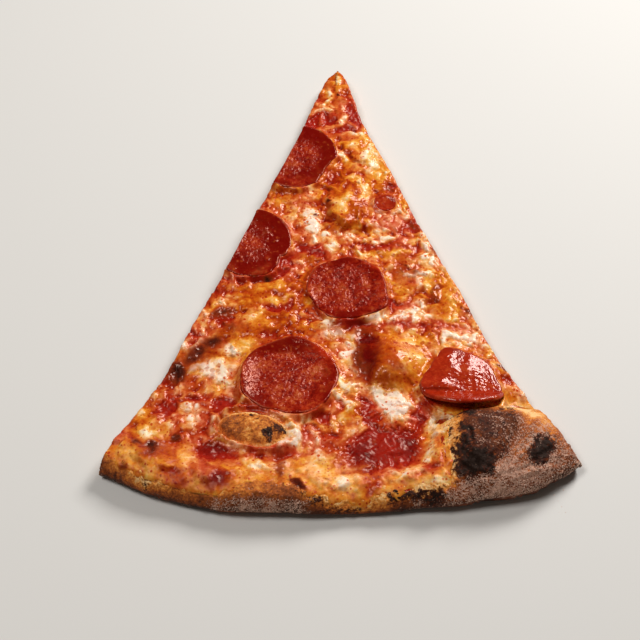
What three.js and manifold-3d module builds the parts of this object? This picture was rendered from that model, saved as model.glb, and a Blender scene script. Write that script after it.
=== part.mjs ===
// One slice of pepperoni pizza: an eighth of an 18 inch pie, in millimetres, +Z up.
// The dough base, the tomato sauce and the melted cheese are three layers that run
// through to both cut sides. Five pepperoni slices and one small end piece lie in the
// cheese. The pie's centre is at x = 0, y = 0 while the layers are shaped, the tip points
// to +Y, and the finished group is then moved so that it stands centred on z = 0.

import * as THREE from 'three';
import { mergeVertices } from 'three/addons/utils/BufferGeometryUtils.js';
import { ImprovedNoise } from 'three/addons/math/ImprovedNoise.js';
import Module from 'manifold-3d';

const { lerp, clamp, smoothstep, degToRad, radToDeg } = THREE.MathUtils;

// ---- driving dimensions -------------------------------------------------------------

const CUT_HALF_ANGLE = 22.5;        // degrees, half of an eighth of a turn
const DOUGH = 4.0;                  // base under the sauce
const SAUCE = 1.0;
const CHEESE = 2.0;                 // mean thickness
const LAYER_GAP = 0.15;             // between dough, sauce and cheese
const TOPPING_GAP = 0.3;            // between a topping and the cheese it lies in
const PEPPERONI = 1.9;              // thickness of a slice
const THIN_EDGE = 0.4;              // thickness that cheese and sauce run out to

// Stations around the rim: [degrees from the slice's middle, millimetres], + is right.
const CRUST_RADIUS = [[-23, 227], [-18, 228.5], [-12, 228.5], [-4, 226], [2, 225], [7, 225],
  [12, 227], [19, 229.5], [22, 227.5], [26, 224]];
const CROWN_HEIGHT = [[-25, 9.5], [-19, 11], [-14, 10], [-7.5, 12.5], [-3.5, 11.5],
  [1.5, 8], [7, 10], [10.5, 13], [15, 18.5], [20, 17.5], [23.5, 14], [26, 10]];
const CRUST_FOOT = [[-25, 203], [-8, 203], [2, 207], [8, 204], [12, 191], [15.5, 187.8],
  [19, 189.4], [22.6, 195], [26, 199]];
const CHEESE_EDGE = [[-25, 217], [-19, 222], [-12, 223], [-8, 216.5], [-5, 216], [-2, 221.5],
  [2.5, 222], [6, 219.5], [8.5, 220], [11, 220], [11.8, 212], [12.6, 198], [13.4, 187],
  [15.5, 184], [19, 186], [23, 192], [26, 196]];
const SAUCE_SHORT = 6;              // the sauce ends this much inside the cheese
const CROWN_IN = 6;                 // crown of the plain rim, inside its outer edge
const BLISTER_CROWN_IN = 20;        // the same on the big blister
const BLISTER_FROM = [9.5, 13];     // degrees over which the rim swells to the blister
const NOSE_HEIGHT = 0.34;           // height of the rim's widest line, per crown height
const NOSE_UNDER = 5;               // the underside lifts off over this width
const NOSE_WALL = 0.3;              // half height of the strip that closes the nose
const BLISTER_CREASE = { at: [70, -196], turn: 58, reach: [30, 3.5], rise: -2.0 };
const BLISTER_END = { width: 9, height: 6, from: 186, to: 204 };

// Bubbles in the dough, ellipses in plan: place, turn in degrees, half axes and rise.
// The bare one pokes through sauce and cheese, which lie over the covered one.
const BARE_BUBBLE = { at: [-31.5, -190], turn: -14, reach: [16.5, 9.4], rise: 6.5 };
const COVERED_BUBBLE = { at: [22.5, -159.5], turn: 10, reach: [16.5, 15.5], rise: 6 };
const BUBBLE_SIDES = 20;
const BUBBLE_RINGS = 5;
const BUBBLE_ROOT = 2;              // the bare bubble's base is sunk this far in the dough

// Thick lobes and hollows of the melted cheese.
const CHEESE_LOBES = [
  { at: [5, -80], turn: 78, reach: [15, 8], rise: 1.9 },
  { at: [13, -56], turn: 65, reach: [15, 5.5], rise: 1.0 },
  { at: [-9, -92], turn: 60, reach: [12, 5], rise: 1.0 },
  { at: [-30, -141], turn: 20, reach: [15, 8], rise: 1.5 },
  { at: [-27, -124], turn: 12, reach: [14, 5], rise: 1.0 },
  { at: [-47, -161], turn: 30, reach: [13, 8], rise: 1.3 },
  { at: [47, -128], turn: 66, reach: [17, 6], rise: 1.3 },
  { at: [51, -147], turn: -18, reach: [12, 5], rise: 0.9 },
  { at: [25, -180], turn: 50, reach: [9, 7], rise: 1.1 },
  { at: [4, -172], turn: 80, reach: [11, 6], rise: 0.9 },
  { at: [-72, -191], turn: 25, reach: [11, 8], rise: 1.2 },
  { at: [-4, -206], turn: 0, reach: [15, 7], rise: 0.8 },
  { at: [2, -14], turn: 90, reach: [12, 5], rise: 0.7 },
  { at: [-5, -86], turn: 72, reach: [11, 2.2], rise: -1.1 },
  { at: [11, -93], turn: 8, reach: [10, 2.2], rise: -1.1 },
  { at: [10, -141], turn: 20, reach: [10, 3], rise: -0.8 },
  { at: [12, -162], turn: 80, reach: [10, 3.5], rise: -0.7 },
];
// Lobes that ran over what lies below and to the left of them: steep on that side, and
// melting away on the other.
const CHEESE_OVERHANGS = [
  { at: [6, -75], turn: -6, reach: [9, 16], rise: 1.8 },
  { at: [13, -85], turn: 0, reach: [5, 6], rise: 1.0 },
  { at: [11, -47], turn: 0, reach: [8, 8], rise: 0.9 },
  { at: [-34, -150], turn: 20, reach: [9, 5], rise: 0.8 },
];
const STEEP_SIDE = 0.16;            // share of its reach over which the steep side rises
const LUMP_SIZE = 13;               // spacing of the small uneven lumps
const LUMP_RISE = 1.1;
const LUMP_SEED = 0.5;
const MOUND_FALL = 1.4;             // how fast lobes and creases fade out beyond their middle

// Places where no cheese covers the sauce: ellipses with an uneven edge.
const SAUCE_WINDOWS = [
  { at: [1, -29], turn: 12, reach: [6, 3.2] },
  { at: [-12, -101], turn: -10, reach: [6, 3.2] },
  { at: [30, -88], turn: 30, reach: [4.5, 3.2] },
  { at: [28, -133], turn: 8, reach: [7, 3.2] },
  { at: [-66, -179], turn: 55, reach: [6, 4.5] },
  { at: [-45, -178.5], turn: 60, reach: [4.6, 4] },
  { at: [18, -198], turn: -8, reach: [14, 8.5] },
  { at: [-49, -203], turn: -10, reach: [6.5, 3] },
];
const WINDOW_SIDES = 14;
const WINDOW_WAVES = [[3, 0.16], [5, 0.1]];   // waves round a window, and their size

// The knife's cuts in plan.
const TIP_BLUNT = { extra: 2.4, round: 1.6, reach: 26 };   // wider than a sharp wedge
const TIP_LEAN = { shift: 1.5, reach: 9 };                 // the tip bends to the right
const CUT_WAVE = { size: 0.4, spacing: 9 };                // the cuts wander
const CUT_BOW = { inwards: 0.8, length: 160 };             // and bow in along the middle
const CUT_FLARE = { left: 5, right: 9.5, from: 158, to: 206 };
const CUT_LENGTH = 240;
const CUT_STEPS = 24;
const CUT_STEP_GROWTH = 1.4;        // steps along a cut are finer near the tip
const CUT_PRISM = { low: -20, height: 60 };                // taller than anything in the slice
const TOPPING_OVERHANG = 0.6;       // the sausage sticks out of a cut this far

// Pepperoni: middle, mean radius, height of the underside, tilt about x and y in degrees,
// how far the edge cups up and the turn of its unevenness. The outline is a list of
// stations round the slice: degrees, 0 to the right and 90 towards the tip, and millimetres.
const SLICES = {
  pepperoni_tip_left: { at: [-17, -51], radius: 18, z: 6.4, tilt: [-1, 1], cup: 0.8, turn: 20,
    outline: [[-180, 18], [-110, 18.8], [-90, 19], [-62, 18.1], [-45, 15.8], [-28, 14.9],
      [-14, 15.8], [-2, 18], [35, 18], [90, 18], [180, 18]] },
  pepperoni_mid_left: { at: [-36.5, -99], radius: 18.4, z: 6.4, tilt: [0, 2], cup: 0.9, turn: 80,
    outline: [[-180, 17], [-126, 16.5], [-95, 17.4], [-60, 18.6], [-48, 17.4], [-30, 15.4],
      [-15, 17.4], [0, 18.3], [28, 18.8], [66, 18.5], [90, 17.8], [180, 17]] },
  pepperoni_centre: { at: [5, -122.8], radius: 16.9, z: 6.8, tilt: [1, -1], cup: 0.7, turn: 140,
    outline: [[-180, 17.2], [-153, 15.8], [-119, 16.3], [-78, 15], [-59, 15.4], [-30, 18.4],
      [-4, 16.1], [18, 15.7], [37, 16.3], [55, 15.6], [90, 16.3], [109, 15.2], [145, 17.1],
      [180, 17.2]] },
  pepperoni_low_left: { at: [-18.5, -166], radius: 19.5, z: 6.8, tilt: [-2, 1], cup: 1.3, turn: 200,
    outline: [[-180, 19.4], [-155, 20.6], [-128, 19], [-109, 17.4], [-88, 18.4], [-60, 19.8],
      [-25, 18.8], [6, 19.6], [55, 18.3], [85, 19.1], [111, 18.2], [150, 19.3], [180, 19.4]] },
  pepperoni_low_right: { at: [50, -168.6], radius: 17, z: 7.3, tilt: [0, 0.5], cup: 0.3, turn: 60,
    crown: 0.8, fold: { from: -4.5, angle: 42, bend: 5 },
    outline: [[-180, 16.9], [-172, 17.7], [-155, 17.6], [-120, 17], [-90, 16.8], [-60, 17.2],
      [-40, 18], [-28, 17.6], [-16, 15.6], [7, 13.3], [45, 13.3], [63, 13.2], [82, 13.8],
      [100, 15.8], [112, 17.2], [120, 16.8], [131, 15.4], [153, 14.6], [172, 16.1], [180, 16.9]] },
  pepperoni_end_piece: { at: [21, -77.2], radius: 4.8, z: 6.6, tilt: [10, 0], cup: 0.6, turn: 0,
    outline: [[-180, 4.8], [-90, 4.2], [0, 4.8], [90, 4.4], [180, 4.8]] },
};
const SLICE_SIDES = 30;
const SLICE_CUP = { from: 0.55, to: 1.05, waves: 3, uneven: 0.5 };   // shares of the radius
const SEAT_HEIGHT = 12;             // a slice's seat is open this far above it

// Section of a slice from its middle to its edge and back: share of the radius, and share
// of the thickness.
const SLICE_UNDER = [[0, 0], [0.6, 0], [0.88, 0], [1, 0.3]];
const SLICE_UPPER = [[1, 0.7], [0.96, 1], [0.8, 1], [0.55, 1], [0, 1]];

// Grid of the layers in plan.
const COLUMNS = 30;
const SPREAD = 27.5;                // degrees to each side, wider than the cut
const SIDE_MARGIN = 5;              // extra width to each side at the tip
const SIDE_MARGIN_FADE = 30;        // and how far down from there it fades
const TIP_MARGIN = 4;               // the grid starts this far beyond the pie's centre
const EVEN_RADIUS = 162;            // rings are evenly spaced inside this radius,
const RINGS_EVEN = 22;              // this many of them
const RINGS_SAUCE = 30;             // from the tip to the sauce's edge
const RINGS_CHEESE = 2;             // from there to the cheese's edge
const RINGS_CRUST = 7;              // from there over the crown to the nose
const RINGS_FLAT = 18;              // the dough is flat inside this ring
const SAUCE_RUN = 2;                // rings over which the sauce thins to its edge
const CHEESE_RUN = 4;               // and the cheese
const MERGE = 1e-4;                 // points nearer to each other than this are one
const SQUARE = 6;                   // corners listed for the two triangles of a square

// ---- finishes -----------------------------------------------------------------------

const finish = (color, roughness) => new THREE.MeshStandardMaterial({ color, roughness, metalness: 0 });
const BAKED_DOUGH = finish('#b57f4c', 0.85);
const TOMATO_SAUCE = finish('#a02a12', 0.45);
const MELTED_CHEESE = finish('#e3a353', 0.4);
const CURED_SAUSAGE = finish('#8c2114', 0.35);

// ---- plan and heights ---------------------------------------------------------------

const noise = new ImprovedNoise();

// Value at an angle, eased from one station to the next.
function around(stations, angle) {
  const next = stations.findIndex(([at]) => at > angle);
  if (next === 0) return stations[0][1];
  if (next === -1) return stations.at(-1)[1];
  const [a, b] = [stations[next - 1], stations[next]];
  return lerp(a[1], b[1], smoothstep(angle, a[0], b[0]));
}

// Distance from an ellipse's middle, 1 on its edge.
function ellipse({ at, turn, reach }, x, y) {
  const angle = degToRad(turn);
  const dx = x - at[0];
  const dy = y - at[1];
  const along = dx * Math.cos(angle) + dy * Math.sin(angle);
  const across = dy * Math.cos(angle) - dx * Math.sin(angle);
  return Math.hypot(along / reach[0], across / reach[1]);
}

const swelling = (form, x, y) => form.rise * Math.max(0, 1 - ellipse(form, x, y) ** 2) ** 1.5;
const mound = (form, x, y) => form.rise * Math.exp(-MOUND_FALL * ellipse(form, x, y) ** 2);

function overhang(form, x, y) {
  const inside = smoothstep(1 - ellipse(form, x, y), 0, STEEP_SIDE);
  const along = (x - form.at[0]) / form.reach[0] + (y - form.at[1]) / form.reach[1];
  return form.rise * inside * clamp((1 - along) / 2, 0, 1);
}

// Half width of the slice at a distance down from its tip, on either side.
function cutX(side, down) {
  const blunt = TIP_BLUNT.extra * (1 - Math.exp(-down / TIP_BLUNT.round))
    * Math.exp(-((down / TIP_BLUNT.reach) ** 2));
  const wave = CUT_WAVE.size * Math.sin(down / CUT_WAVE.spacing + side);
  const bow = CUT_BOW.inwards * Math.sin(Math.PI * clamp(down / CUT_BOW.length, 0, 1));
  const flare = (side > 0 ? CUT_FLARE.right : CUT_FLARE.left)
    * smoothstep(down, CUT_FLARE.from, CUT_FLARE.to);
  const half = down * Math.tan(degToRad(CUT_HALF_ANGLE)) + blunt + flare;
  const wander = (wave - bow) * smoothstep(down, 0, TIP_BLUNT.reach);
  return side * (half + wander) + TIP_LEAN.shift * Math.exp(-down / TIP_LEAN.reach);
}

// Where a grid point lies in plan, and what the rim is there.
function planPoint(column, ring) {
  const u = column / COLUMNS * 2 - 1;
  const angle = u * SPREAD;
  const sauceEdge = around(CHEESE_EDGE, angle) - SAUCE_SHORT;
  const outer = around(CRUST_RADIUS, angle);
  let radius = lerp(-TIP_MARGIN, EVEN_RADIUS, ring / RINGS_EVEN);
  if (ring > RINGS_EVEN) {
    radius = lerp(EVEN_RADIUS, sauceEdge, (ring - RINGS_EVEN) / (RINGS_SAUCE - RINGS_EVEN));
  }
  if (ring > RINGS_SAUCE) {
    radius = sauceEdge + SAUCE_SHORT * Math.min(1, (ring - RINGS_SAUCE) / RINGS_CHEESE);
  }
  const onCrust = ring - RINGS_SAUCE - RINGS_CHEESE;
  if (onCrust > 0) radius += (outer - radius) * Math.sin(onCrust / RINGS_CRUST * Math.PI / 2);
  const turn = degToRad(angle);
  const margin = SIDE_MARGIN * u * Math.exp(-Math.max(0, radius) / SIDE_MARGIN_FADE);
  return { x: radius * Math.sin(turn) + margin, y: -radius * Math.cos(turn), angle, radius, outer };
}

// Height of the crust's upper skin.
function doughTop({ x, y, angle, radius, outer }) {
  const crown = around(CROWN_HEIGHT, angle);
  const foot = around(CRUST_FOOT, angle);
  const swell = smoothstep(angle, ...BLISTER_FROM);
  const crownRadius = outer - lerp(CROWN_IN, BLISTER_CROWN_IN, swell);
  const climb = clamp((radius - foot) / (crownRadius - foot), 0, 1);
  const plain = smoothstep(climb, 0, 1);
  const puffed = Math.sqrt(1 - (1 - climb) ** 2);
  let z = DOUGH + (crown - DOUGH) * lerp(plain, puffed, swell);
  z += swell * mound(BLISTER_CREASE, x, y);
  const noseTop = NOSE_HEIGHT * crown + NOSE_WALL;
  if (radius > crownRadius) {
    const over = Math.min(1, (radius - crownRadius) / (outer - crownRadius));
    z = noseTop + (z - noseTop) * Math.sqrt(1 - over * over);
  }
  const inFromCut = cutX(1, -y) - x;
  const atEnd = smoothstep(radius, BLISTER_END.from, BLISTER_END.to) * swell;
  const fall = 1 - clamp(inFromCut / BLISTER_END.width, 0, 1);
  const endHeight = Math.min(z, BLISTER_END.height);
  z = lerp(z, endHeight + (z - endHeight) * Math.sqrt(1 - fall * fall), atEnd);
  return z + swelling(COVERED_BUBBLE, x, y);
}

// Height of the crust's underside: flat, and lifted a little at the nose.
function doughUnder({ angle, radius, outer }) {
  const lift = clamp((radius - outer + NOSE_UNDER) / NOSE_UNDER, 0, 1);
  return (NOSE_HEIGHT * around(CROWN_HEIGHT, angle) - NOSE_WALL) * (1 - Math.sqrt(1 - lift * lift));
}

const sauceUnder = (point) => doughTop(point) + LAYER_GAP;

function sauceTop(point, ring) {
  const run = smoothstep(RINGS_SAUCE - ring, 0, SAUCE_RUN);
  return sauceUnder(point) + lerp(THIN_EDGE, SAUCE, run);
}

function cheeseUnder(point, ring) {
  return (ring > RINGS_SAUCE ? doughTop(point) : sauceTop(point, ring)) + LAYER_GAP;
}

function cheeseTop(point, ring) {
  const { x, y } = point;
  let thick = CHEESE + LUMP_RISE * noise.noise(x / LUMP_SIZE, y / LUMP_SIZE, LUMP_SEED);
  for (const lobe of CHEESE_LOBES) thick += mound(lobe, x, y);
  for (const lobe of CHEESE_OVERHANGS) thick += overhang(lobe, x, y);
  const last = RINGS_SAUCE + RINGS_CHEESE;
  const run = smoothstep(last - ring, 0, CHEESE_RUN);
  return cheeseUnder(point, ring) + lerp(THIN_EDGE, Math.max(thick, THIN_EDGE), run);
}

// ---- solids -------------------------------------------------------------------------

const wasm = await Module();
wasm.setup();

function toSolid(geometry) {
  const bare = geometry.clone();
  bare.deleteAttribute('normal');
  bare.deleteAttribute('uv');
  const merged = mergeVertices(bare, MERGE);
  return new wasm.Manifold(new wasm.Mesh({
    numProp: 3,
    vertProperties: new Float32Array(merged.attributes.position.array),
    triVerts: new Uint32Array(merged.index.array),
  }));
}

function toGeometry(solid) {
  const pieces = solid.decompose();
  const whole = pieces.reduce((a, b) => (a.volume() > b.volume() ? a : b));
  const mesh = whole.getMesh();
  const geometry = new THREE.BufferGeometry();
  geometry.setAttribute('position', new THREE.BufferAttribute(mesh.vertProperties, 3));
  geometry.setIndex(new THREE.BufferAttribute(mesh.triVerts, 1));
  geometry.computeVertexNormals();
  return geometry;
}

// Moves every vertex of a geometry to where place(x, y, z) puts it.
function reshape(geometry, place) {
  const position = geometry.attributes.position;
  for (let i = 0; i < position.count; i += 1) {
    position.setXYZ(i, ...place(position.getX(i), position.getY(i), position.getZ(i)));
  }
  return geometry;
}

// The rings from one to another, both included.
const ringsFrom = (first, last) => Array.from({ length: last - first + 1 }, (_, i) => first + i);

// A layer of the pie on some rings, between an under and an upper height. The squares of
// its under face are split along the same diagonals as the upper ones, so layers nest.
function layer(rings, under, upper) {
  const steps = rings.length - 1;
  const box = new THREE.BoxGeometry(COLUMNS, steps, 1, COLUMNS, steps, 1);
  const underFace = box.groups.at(-1);
  for (let i = underFace.start; i < underFace.start + underFace.count; i += SQUARE) {
    const [a, b, d, , c] = box.index.array.subarray(i, i + SQUARE);
    box.index.array.set([a, b, c, a, c, d], i);
  }
  return reshape(box, (x, y, z) => {
    const ring = rings[Math.round(steps / 2 - y)];
    const point = planPoint(Math.round(x + COLUMNS / 2), ring);
    return [point.x, point.y, (z > 0 ? upper : under)(point, ring)];
  });
}

// The slice's outline in plan, both cuts grown outwards by a little, as a tall prism.
function wedge(grow) {
  const shape = new THREE.Shape();
  const down = (i) => CUT_LENGTH * (i / CUT_STEPS) ** CUT_STEP_GROWTH;
  shape.moveTo(TIP_LEAN.shift, grow);
  for (let i = 1; i <= CUT_STEPS; i += 1) shape.lineTo(cutX(-1, down(i)) - grow, -down(i));
  for (let i = CUT_STEPS; i >= 1; i -= 1) shape.lineTo(cutX(1, down(i)) + grow, -down(i));
  const prism = new THREE.ExtrudeGeometry(shape, { depth: CUT_PRISM.height, bevelEnabled: false });
  return prism.translate(0, 0, CUT_PRISM.low);
}

// A tall prism over an ellipse, its edge wandering in and out in waves.
function ellipsePrism({ at, turn, reach }, waves) {
  const prism = new THREE.CylinderGeometry(1, 1, CUT_PRISM.height, WINDOW_SIDES).rotateX(Math.PI / 2);
  reshape(prism, (x, y, z) => {
    const angle = Math.atan2(y, x);
    const out = waves.reduce((sum, [count, size]) => sum + size * Math.sin(count * angle + at[0]), 1);
    return [x * reach[0] * out, y * reach[1] * out, z];
  });
  return prism.rotateZ(degToRad(turn)).translate(at[0], at[1], 0);
}

// A bubble of bare dough, with its base sunk into the crust.
function bareBubble({ at, turn, reach, rise }) {
  const points = [new THREE.Vector2(0, DOUGH - BUBBLE_ROOT), new THREE.Vector2(1, DOUGH - BUBBLE_ROOT)];
  for (let i = 0; i <= BUBBLE_RINGS; i += 1) {
    const angle = i / BUBBLE_RINGS * Math.PI / 2;
    const out = i === BUBBLE_RINGS ? 0 : Math.cos(angle);
    points.push(new THREE.Vector2(out, DOUGH + rise * Math.sin(angle)));
  }
  const lathe = new THREE.LatheGeometry(points, BUBBLE_SIDES).rotateX(Math.PI / 2);
  return lathe.scale(reach[0], reach[1], 1).rotateZ(degToRad(turn)).translate(at[0], at[1], 0);
}

// A slice of sausage, lying in the cheese. grow makes it bigger all round, and above says
// how far it stands up, so that the same form cuts its own seat.
function sausage(spec, grow, above) {
  const r = spec.radius + grow;
  const upper = PEPPERONI + above;
  const points = [
    ...SLICE_UNDER.map(([out, up]) => new THREE.Vector2(out * r, up * PEPPERONI - grow)),
    ...SLICE_UPPER.map(([out, up]) => new THREE.Vector2(out * r, upper - (1 - up) * PEPPERONI)),
  ];
  const disc = new THREE.LatheGeometry(points, SLICE_SIDES).rotateX(Math.PI / 2);
  const phase = degToRad(spec.turn);
  reshape(disc, (x, y, z) => {
    const angle = Math.atan2(y, x);
    const share = Math.hypot(x, y) / spec.radius;
    const out = around(spec.outline, radToDeg(angle)) / spec.radius;
    const uneven = 1 + SLICE_CUP.uneven * Math.sin(SLICE_CUP.waves * (angle + phase));
    const cup = spec.cup * smoothstep(share, SLICE_CUP.from, SLICE_CUP.to) * uneven;
    const crown = (spec.crown ?? 0) * (1 - share ** 2);
    return folded(spec.fold, x * out, y * out, z + cup + crown);
  });
  const [tiltX, tiltY] = spec.tilt.map(degToRad);
  return disc.rotateX(tiltX).rotateY(tiltY).translate(spec.at[0], spec.at[1], spec.z);
}

// Bends what lies beyond a line across the slice upwards, round a soft fold.
function folded(fold, x, y, z) {
  if (!fold || y > fold.from) return [x, y, z];
  const beyond = fold.from - y;
  const full = degToRad(fold.angle);
  const angle = Math.min(full, beyond / fold.bend);
  const straight = Math.max(0, beyond - full * fold.bend);
  const out = (fold.bend - z) * Math.sin(angle) + straight * Math.cos(angle);
  const up = fold.bend - (fold.bend - z) * Math.cos(angle) + straight * Math.sin(angle);
  return [x, fold.from - out, up];
}

// ---- the slice ----------------------------------------------------------------------

const pie = new THREE.Group();

function addPiece(name, solid, material) {
  const mesh = new THREE.Mesh(toGeometry(solid), material);
  mesh.name = name;
  pie.add(mesh);
}

const knife = toSolid(wedge(0));
const toppingKnife = toSolid(wedge(TOPPING_OVERHANG));
const roundBubble = { ...BARE_BUBBLE, reach: BARE_BUBBLE.reach.map((half) => half + TOPPING_GAP) };
const bubbleHole = toSolid(ellipsePrism(roundBubble, []));

const cheeseRings = ringsFrom(0, RINGS_SAUCE + RINGS_CHEESE);
const sauceRings = [0, ...ringsFrom(RINGS_FLAT, RINGS_SAUCE)];
const crustRings = [0, ...ringsFrom(RINGS_FLAT, RINGS_SAUCE + RINGS_CHEESE + RINGS_CRUST)];

const dough = toSolid(layer(crustRings, doughUnder, doughTop));
const crust = dough.add(toSolid(bareBubble(BARE_BUBBLE))).intersect(knife);
const sauce = toSolid(layer(sauceRings, sauceUnder, sauceTop)).intersect(knife).subtract(bubbleHole);
let cheese = toSolid(layer(cheeseRings, cheeseUnder, cheeseTop)).intersect(knife);
cheese = cheese.subtract(bubbleHole);
for (const window of SAUCE_WINDOWS) {
  cheese = cheese.subtract(toSolid(ellipsePrism(window, WINDOW_WAVES)));
}
for (const spec of Object.values(SLICES)) {
  cheese = cheese.subtract(toSolid(sausage(spec, TOPPING_GAP, SEAT_HEIGHT)));
}

addPiece('crust', crust, BAKED_DOUGH);
addPiece('tomato_sauce', sauce, TOMATO_SAUCE);
addPiece('melted_cheese', cheese, MELTED_CHEESE);
for (const [name, spec] of Object.entries(SLICES)) {
  addPiece(name, toSolid(sausage(spec, 0, 0)).intersect(toppingKnife), CURED_SAUSAGE);
}

// Stand the slice on z = 0 with the middle of its box over the origin.
const reach = new THREE.Box3().setFromObject(pie);
const middle = reach.getCenter(new THREE.Vector3());
pie.position.set(-middle.x, -middle.y, -reach.min.z);

export default pie;
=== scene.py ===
"""A slice of pepperoni pizza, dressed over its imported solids.

The layers are shaped in the pie's own plan, in millimetres: the pie's centre is at x = 0,
y = 0, and the slice runs from its tip there towards -Y. Each layer starts as one flat
sheet, is trimmed along the two cuts with a margin, and is then folded: the middle becomes
the upper side and the margins turn down and become the cut sides. Finished pieces are put
in the part's frame, in metres.
"""

import math
from types import SimpleNamespace

import bmesh
import bpy
import numpy as np
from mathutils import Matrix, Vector
from mathutils.geometry import delaunay_2d_cdt


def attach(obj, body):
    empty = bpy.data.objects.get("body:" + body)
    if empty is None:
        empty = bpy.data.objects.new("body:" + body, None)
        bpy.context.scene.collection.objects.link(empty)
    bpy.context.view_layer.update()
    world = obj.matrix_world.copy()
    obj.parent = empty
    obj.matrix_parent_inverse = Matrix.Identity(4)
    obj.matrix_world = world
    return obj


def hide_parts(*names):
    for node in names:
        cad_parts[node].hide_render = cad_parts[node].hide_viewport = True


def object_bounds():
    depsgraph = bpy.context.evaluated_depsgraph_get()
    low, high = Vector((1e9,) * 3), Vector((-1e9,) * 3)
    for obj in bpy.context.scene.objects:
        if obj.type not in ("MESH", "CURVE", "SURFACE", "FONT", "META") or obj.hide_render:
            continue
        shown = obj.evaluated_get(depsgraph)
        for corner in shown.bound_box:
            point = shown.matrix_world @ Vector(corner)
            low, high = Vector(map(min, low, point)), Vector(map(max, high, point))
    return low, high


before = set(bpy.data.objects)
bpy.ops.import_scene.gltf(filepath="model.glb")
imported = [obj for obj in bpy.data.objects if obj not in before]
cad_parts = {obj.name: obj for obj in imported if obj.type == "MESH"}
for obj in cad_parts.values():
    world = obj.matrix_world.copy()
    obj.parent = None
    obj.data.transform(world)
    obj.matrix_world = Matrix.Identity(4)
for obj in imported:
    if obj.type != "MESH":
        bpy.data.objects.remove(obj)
CAD_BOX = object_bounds()

# ---- sizes that the solids have too, in millimetres and degrees ---------------------

MM = 0.001
PIE_CENTRE = (-1.350, CAD_BOX[1].y / MM, 0.0)

CUT_SLOPE = math.tan(math.radians(22.5))
DOUGH = 4.0
SAUCE = 1.0
CHEESE = 2.0
LAYER_GAP = 0.15
PEPPERONI = 1.9

# Stations around the rim: degrees from the slice's middle, + is right, and millimetres.
CRUST_RADIUS = ((-23, 227), (-18, 228.5), (-12, 228.5), (-4, 226), (2, 225), (7, 225), (12, 227),
                (19, 229.5), (22, 227.5), (26, 224))
CROWN_HEIGHT = ((-25, 9.5), (-19, 11), (-14, 10), (-7.5, 12.5), (-3.5, 11.5), (1.5, 8), (7, 10),
                (10.5, 13), (15, 18.5), (20, 17.5), (23.5, 14), (26, 10))
CRUST_FOOT = ((-25, 203), (-8, 203), (2, 207), (8, 204), (12, 191), (15.5, 187.8), (19, 189.4),
              (22.6, 195), (26, 199))
CHEESE_EDGE = ((-25, 217), (-19, 222), (-12, 223), (-8, 216.5), (-5, 216), (-2, 221.5), (2.5, 222),
               (6, 219.5), (8.5, 220), (11, 220), (11.8, 212), (12.6, 198), (13.4, 187),
               (15.5, 184), (19, 186), (23, 192), (26, 196))
CROWN_IN = 6
BLISTER_CROWN_IN = 20
BLISTER_FROM = (9.5, 13)
NOSE_HEIGHT = 0.34
NOSE_UNDER = 5
NOSE_WALL = 0.3
BLISTER_CREASE = (70, -196, 30, 3.5, 58, -2.0)
BLISTER_END = {"width": 9, "height": 6, "from": 186, "to": 204}

# Forms in plan are ellipses: middle x and y, half axes, turn in degrees, and strength.
BARE_BUBBLE = (-31.5, -190, 16.5, 9.4, -14, 6.5)
BUBBLE_TAN = (-33, -190.4, 13.4, 7.0, -10, 1)   # where no cheese covers the bare bubble
BUBBLE_SKIRT = (-30.5, -190, 18, 9.8, -12, 0.72)    # and where cream-coloured cheese climbs it
COVERED_BUBBLE = (22.5, -159.5, 16.5, 15.5, 10, 6)
CHEESE_LOBES = (
    (5, -80, 15, 8, 78, 1.9), (13, -56, 15, 5.5, 65, 1.0), (-9, -92, 12, 5, 60, 1.0),
    (-30, -141, 15, 8, 20, 1.5), (-27, -124, 14, 5, 12, 1.0), (-47, -161, 13, 8, 30, 1.3),
    (47, -128, 17, 6, 66, 1.3), (51, -147, 12, 5, -18, 0.9), (25, -180, 9, 7, 50, 1.1),
    (4, -172, 11, 6, 80, 0.9), (-72, -191, 11, 8, 25, 1.2), (-4, -206, 15, 7, 0, 0.8),
    (2, -14, 12, 5, 90, 0.7), (-5, -86, 11, 2.2, 72, -1.1), (11, -93, 10, 2.2, 8, -1.1),
    (10, -141, 10, 3, 20, -0.8), (12, -162, 10, 3.5, 80, -0.7),
)

# Lobes that ran over what lies below and to the left of them, and their steep sides' height.
OVERHANGS = (
    (6, -75, 9, 16, -6, 1.8), (13, -85, 5, 6, 0, 1.0), (11, -47, 8, 8, 0, 0.9),
    (-34, -150, 9, 5, 20, 0.8),
)
STEEP_SIDE = 0.16                   # how much of its half axis such a side takes
TIP_BLUNT = {"extra": 2.4, "round": 1.6, "reach": 26}
TIP_LEAN = {"shift": 1.5, "reach": 9}
CUT_WAVE = {"size": 0.4, "spacing": 9}
CUT_BOW = {"inwards": 0.8, "length": 160}
CUT_FLARE = {-1: 5, 1: 9.5, "from": 158, "to": 206}

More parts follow.
